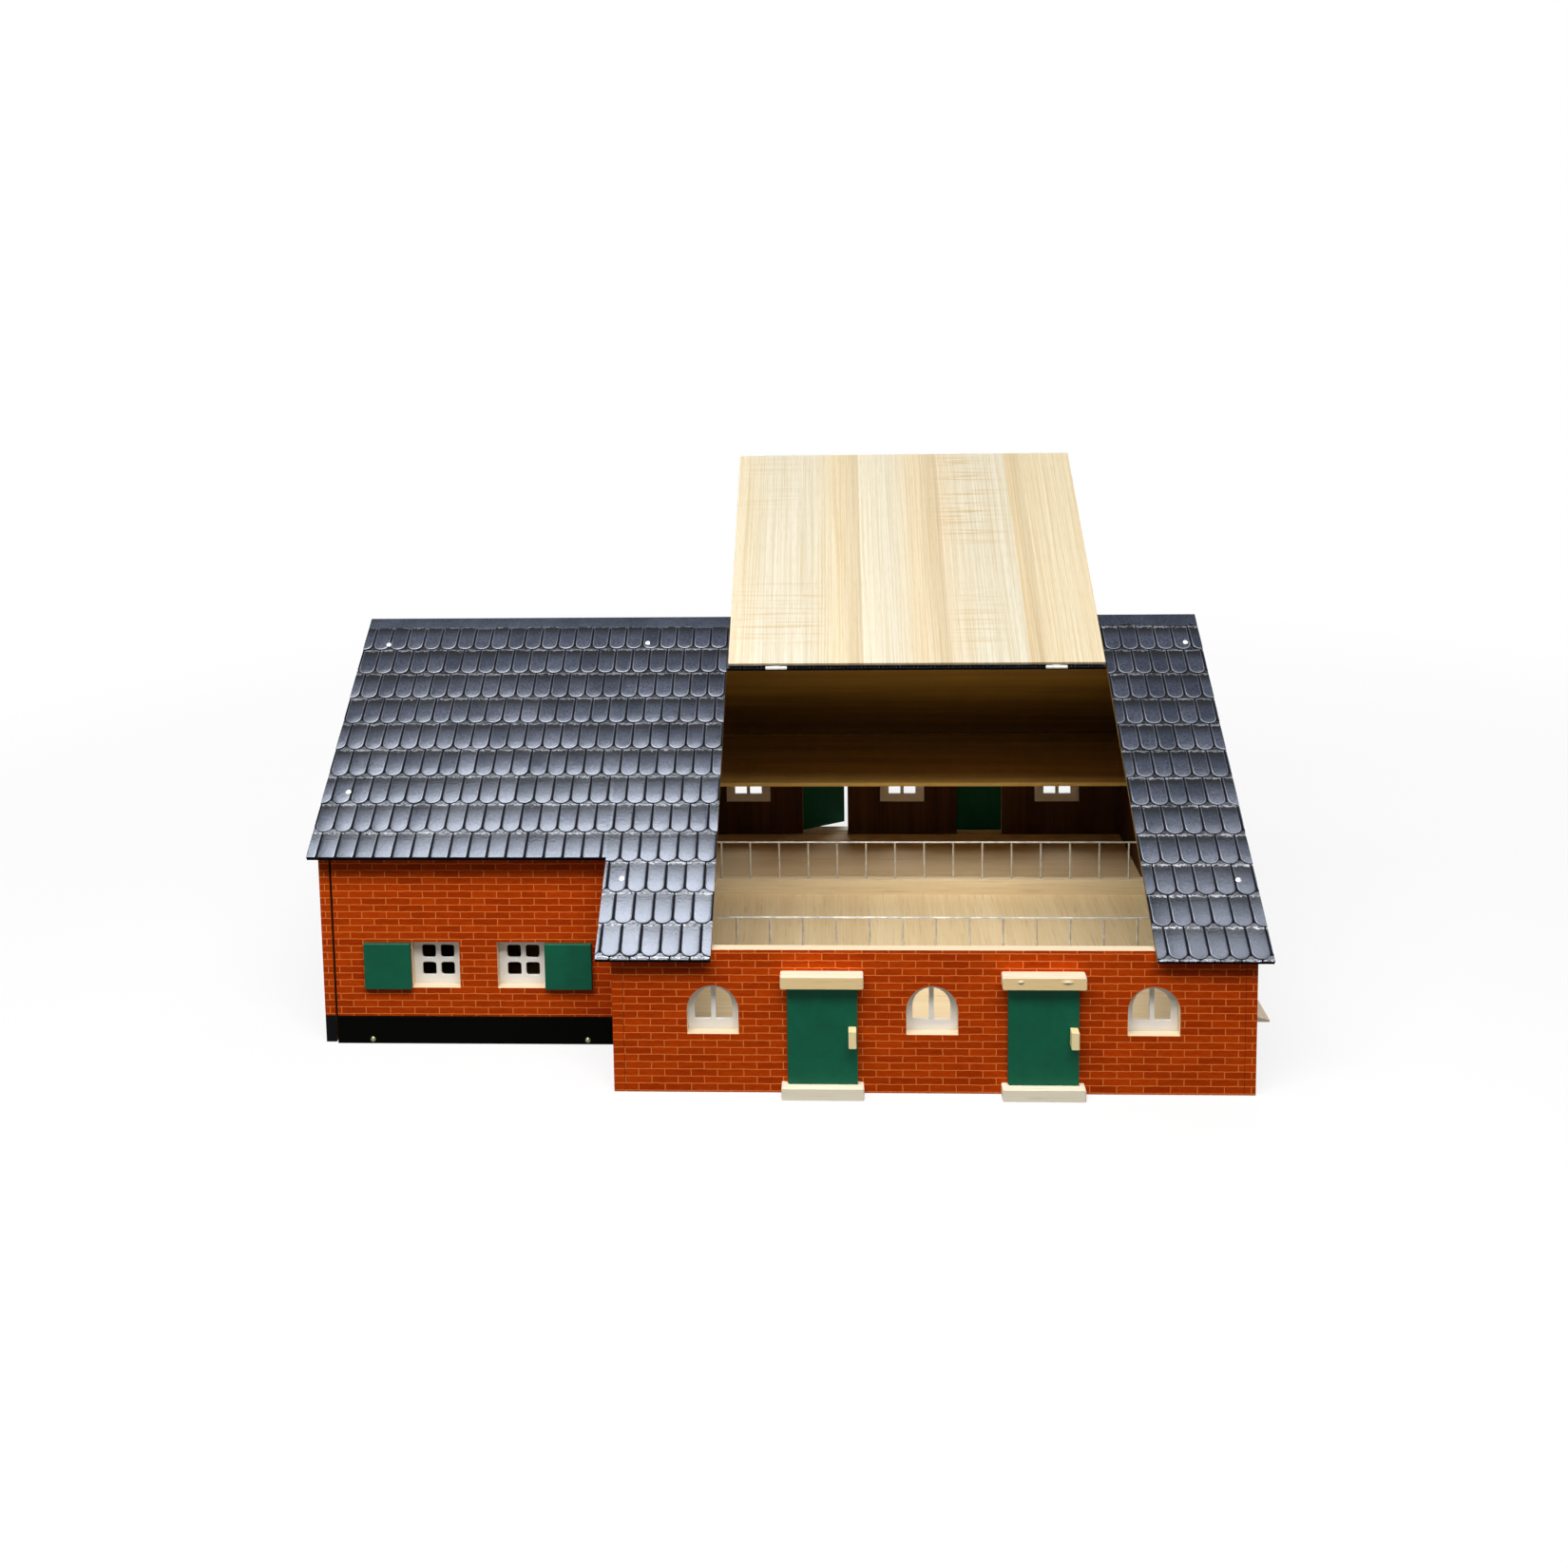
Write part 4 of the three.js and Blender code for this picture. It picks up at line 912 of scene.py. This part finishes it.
def make_screws():
    """Screw heads in the roof and the plinth"""
    lift = Matrix.Translation((0, 0, FLAT_RELIEF))
    for index, (x, y) in enumerate(ROOF_SCREWS):
        height = RIDGE_HEIGHT + y * math.tan(ROOF_PITCH)
        bm = screw_head(SCREW_RADIUS, SCREW_RISE)
        place = Matrix.Translation((x, y, height)) @ Matrix.Rotation(ROOF_PITCH, 4, "X") @ lift
        bmesh.ops.transform(bm, matrix=place, verts=bm.verts)
        # The ring round each roof screw takes the near-black groove sheet: painted shade
        new_piece(f"roof_screw_{index + 1}", bm, [screw_metal, groove], "barn")
    plinth_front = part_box("wing_plinth")[0].y
    upright = Matrix.Rotation(math.pi / 2, 4, "X")
    for index, x in enumerate(PLINTH_SCREWS):
        bm = screw_head(PLINTH_SCREW_RADIUS, SCREW_RISE)
        place = Matrix.Translation((x, plinth_front, PLINTH_SCREW_HEIGHT)) @ upright
        bmesh.ops.transform(bm, matrix=place, verts=bm.verts)
        new_piece(f"plinth_screw_{index + 1}", bm, [old_screw_metal, black], "barn")


def dress_frame():
    """Finishes of the CAD nodes that stay in view"""
    nodes = list(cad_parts)
    for name, board in (
        ("front_wall", brick_front), ("wing_front_wall", brick_wing), ("rear_wall", brick_rear),
        ("left_gable", brick_left), ("partition_gable", brick_partition), ("right_gable", brick_right),
    ):
        dress([name], board)
    dress(["wing_plinth"], black, FINE_EDGE)
    dress([name for name in nodes if "window" in name], white, WIDE_EDGE)
    dress(["shutter_1", "shutter_2"], green, FINE_EDGE)
    handles = [name for name in nodes if name.endswith("_handle")]
    lintels = [name for name in nodes if name.endswith("_lintel")]
    sills = [name for name in nodes if name.endswith("_sill")]
    doors = [name for name in nodes if name.startswith(("front_door", "rear_door", "gable_door"))]
    dress([name for name in doors if name not in handles + lintels + sills], green, WIDE_EDGE)
    dress(handles, handle_wood)
    dress(lintels, lintel_wood)
    dress(sills, sill_wood)
    dress(["ramp"], ramp_wood, WIDE_EDGE)
    dress(["alley_deck"], deck_wood, BOARD_EDGE)
    dress(["front_kerb", "rear_kerb"], kerb_wood, BOARD_EDGE)
    dress(["hall_floor", "wing_floor"], floor_wood, BOARD_EDGE)
    dress(["loft_floor"], loft_wood, BOARD_EDGE)
    beams = ["loft_batten_left", "loft_batten_right", "ridge_beam", "left_rafters"]
    dress(beams, beam_wood, BOARD_EDGE)
    dress(["front_feed_fence", "rear_feed_fence"], wire_metal)
    dress([name for name in nodes if name.startswith("hinge_")], hinge_white)


# Stage

def area_light(name, place, target, size, power, is_sheen=False):
    """A soft rectangular lamp that looks at a target; a sheen lamp shows in glossy surfaces only"""
    data = bpy.data.lights.new(name, "AREA")
    data.shape = "RECTANGLE"
    data.size, data.size_y = size
    data.energy = power
    lamp = bpy.data.objects.new(name, data)
    lamp.visible_diffuse = not is_sheen
    direction = Vector(target) - Vector(place)
    turn = direction.to_track_quat("-Z", "Y").to_matrix().to_4x4()
    lamp.matrix_world = Matrix.Translation(place) @ turn
    bpy.context.scene.collection.objects.link(lamp)


def seen_directly(tree):
    """A mask of the rays from the camera, from gloss and through glass"""
    path = add_node(tree, "ShaderNodeLightPath")
    seen = math_node(tree, "MAXIMUM", path.outputs["Is Camera Ray"], path.outputs["Is Glossy Ray"])
    return math_node(tree, "MAXIMUM", seen, path.outputs["Is Transmission Ray"])


def make_floor():
    """A white floor that keeps a soft shadow"""
    bm = bmesh.new()
    bmesh.ops.create_grid(bm, x_segments=1, y_segments=1, size=FLOOR_HALF)
    mesh = bpy.data.meshes.new("floor")
    bm.to_mesh(mesh)
    bm.free()
    floor = bpy.data.objects.new("floor", mesh)
    bpy.context.scene.collection.objects.link(floor)
    material, tree, shader = new_material("white floor", 0.9, specular=0.0)
    tree.links.new(spread(tree, seen_directly(tree), 0, 1, 0.15, 0.9), shader.inputs["Base Color"])
    glow = add_node(tree, "ShaderNodeEmission", None, {"Strength": 1.0})
    distance = vector_node(tree, "LENGTH", {0: object_place(tree)})["Value"]
    share = product(tree, seen_directly(tree), spread(tree, distance, 0.5, 1.6, 0.8, 1.0))
    inputs = {0: share, 1: shader.outputs[0], 2: glow.outputs[0]}
    blend = add_node(tree, "ShaderNodeMixShader", None, inputs)
    tree.links.new(blend.outputs[0], tree.nodes["Material Output"].inputs["Surface"])
    mesh.materials.append(material)


def make_world():
    """A world that looks white, but gives little light"""
    world = bpy.data.worlds.new("world")
    bpy.context.scene.world = world
    world.use_nodes = True
    tree = world.node_tree
    strength = spread(tree, seen_directly(tree), 0, 1, 0.13, 1.0)
    tree.links.new(strength, tree.nodes["Background"].inputs["Strength"])
    tree.nodes["Background"].inputs["Color"].default_value = (1, 1, 1, 1)


def make_lamps():
    """Soft lamps in front, above and behind, and two that only make the sheen on the roof"""
    area_light("sheen", (-0.64, -0.585, 1.9), (-0.64, -0.585, 0), (1.0, 0.77), 68, is_sheen=True)
    area_light("right sheen", (0.7, -0.55, 1.9), (0.7, -0.55, 0), (0.6, 0.5), 12, is_sheen=True)
    area_light("key", (-0.28, -1.06, 1.53), (-0.2, -0.2, 0.12), (2.0, 0.48), 35.5)
    area_light("top", (-0.1, -0.6, 1.95), (-0.1, -0.25, 0.1), (1.2, 0.4), 6)
    area_light("rear", (0.2, 1.9, 1.5), (-0.1, 0.2, 0.15), (1.2, 0.8), 16)


make_camera()
make_floor()
make_world()
make_lamps()
bpy.context.scene.view_settings.view_transform = "Standard"
dress_frame()
make_roof()
make_screws()
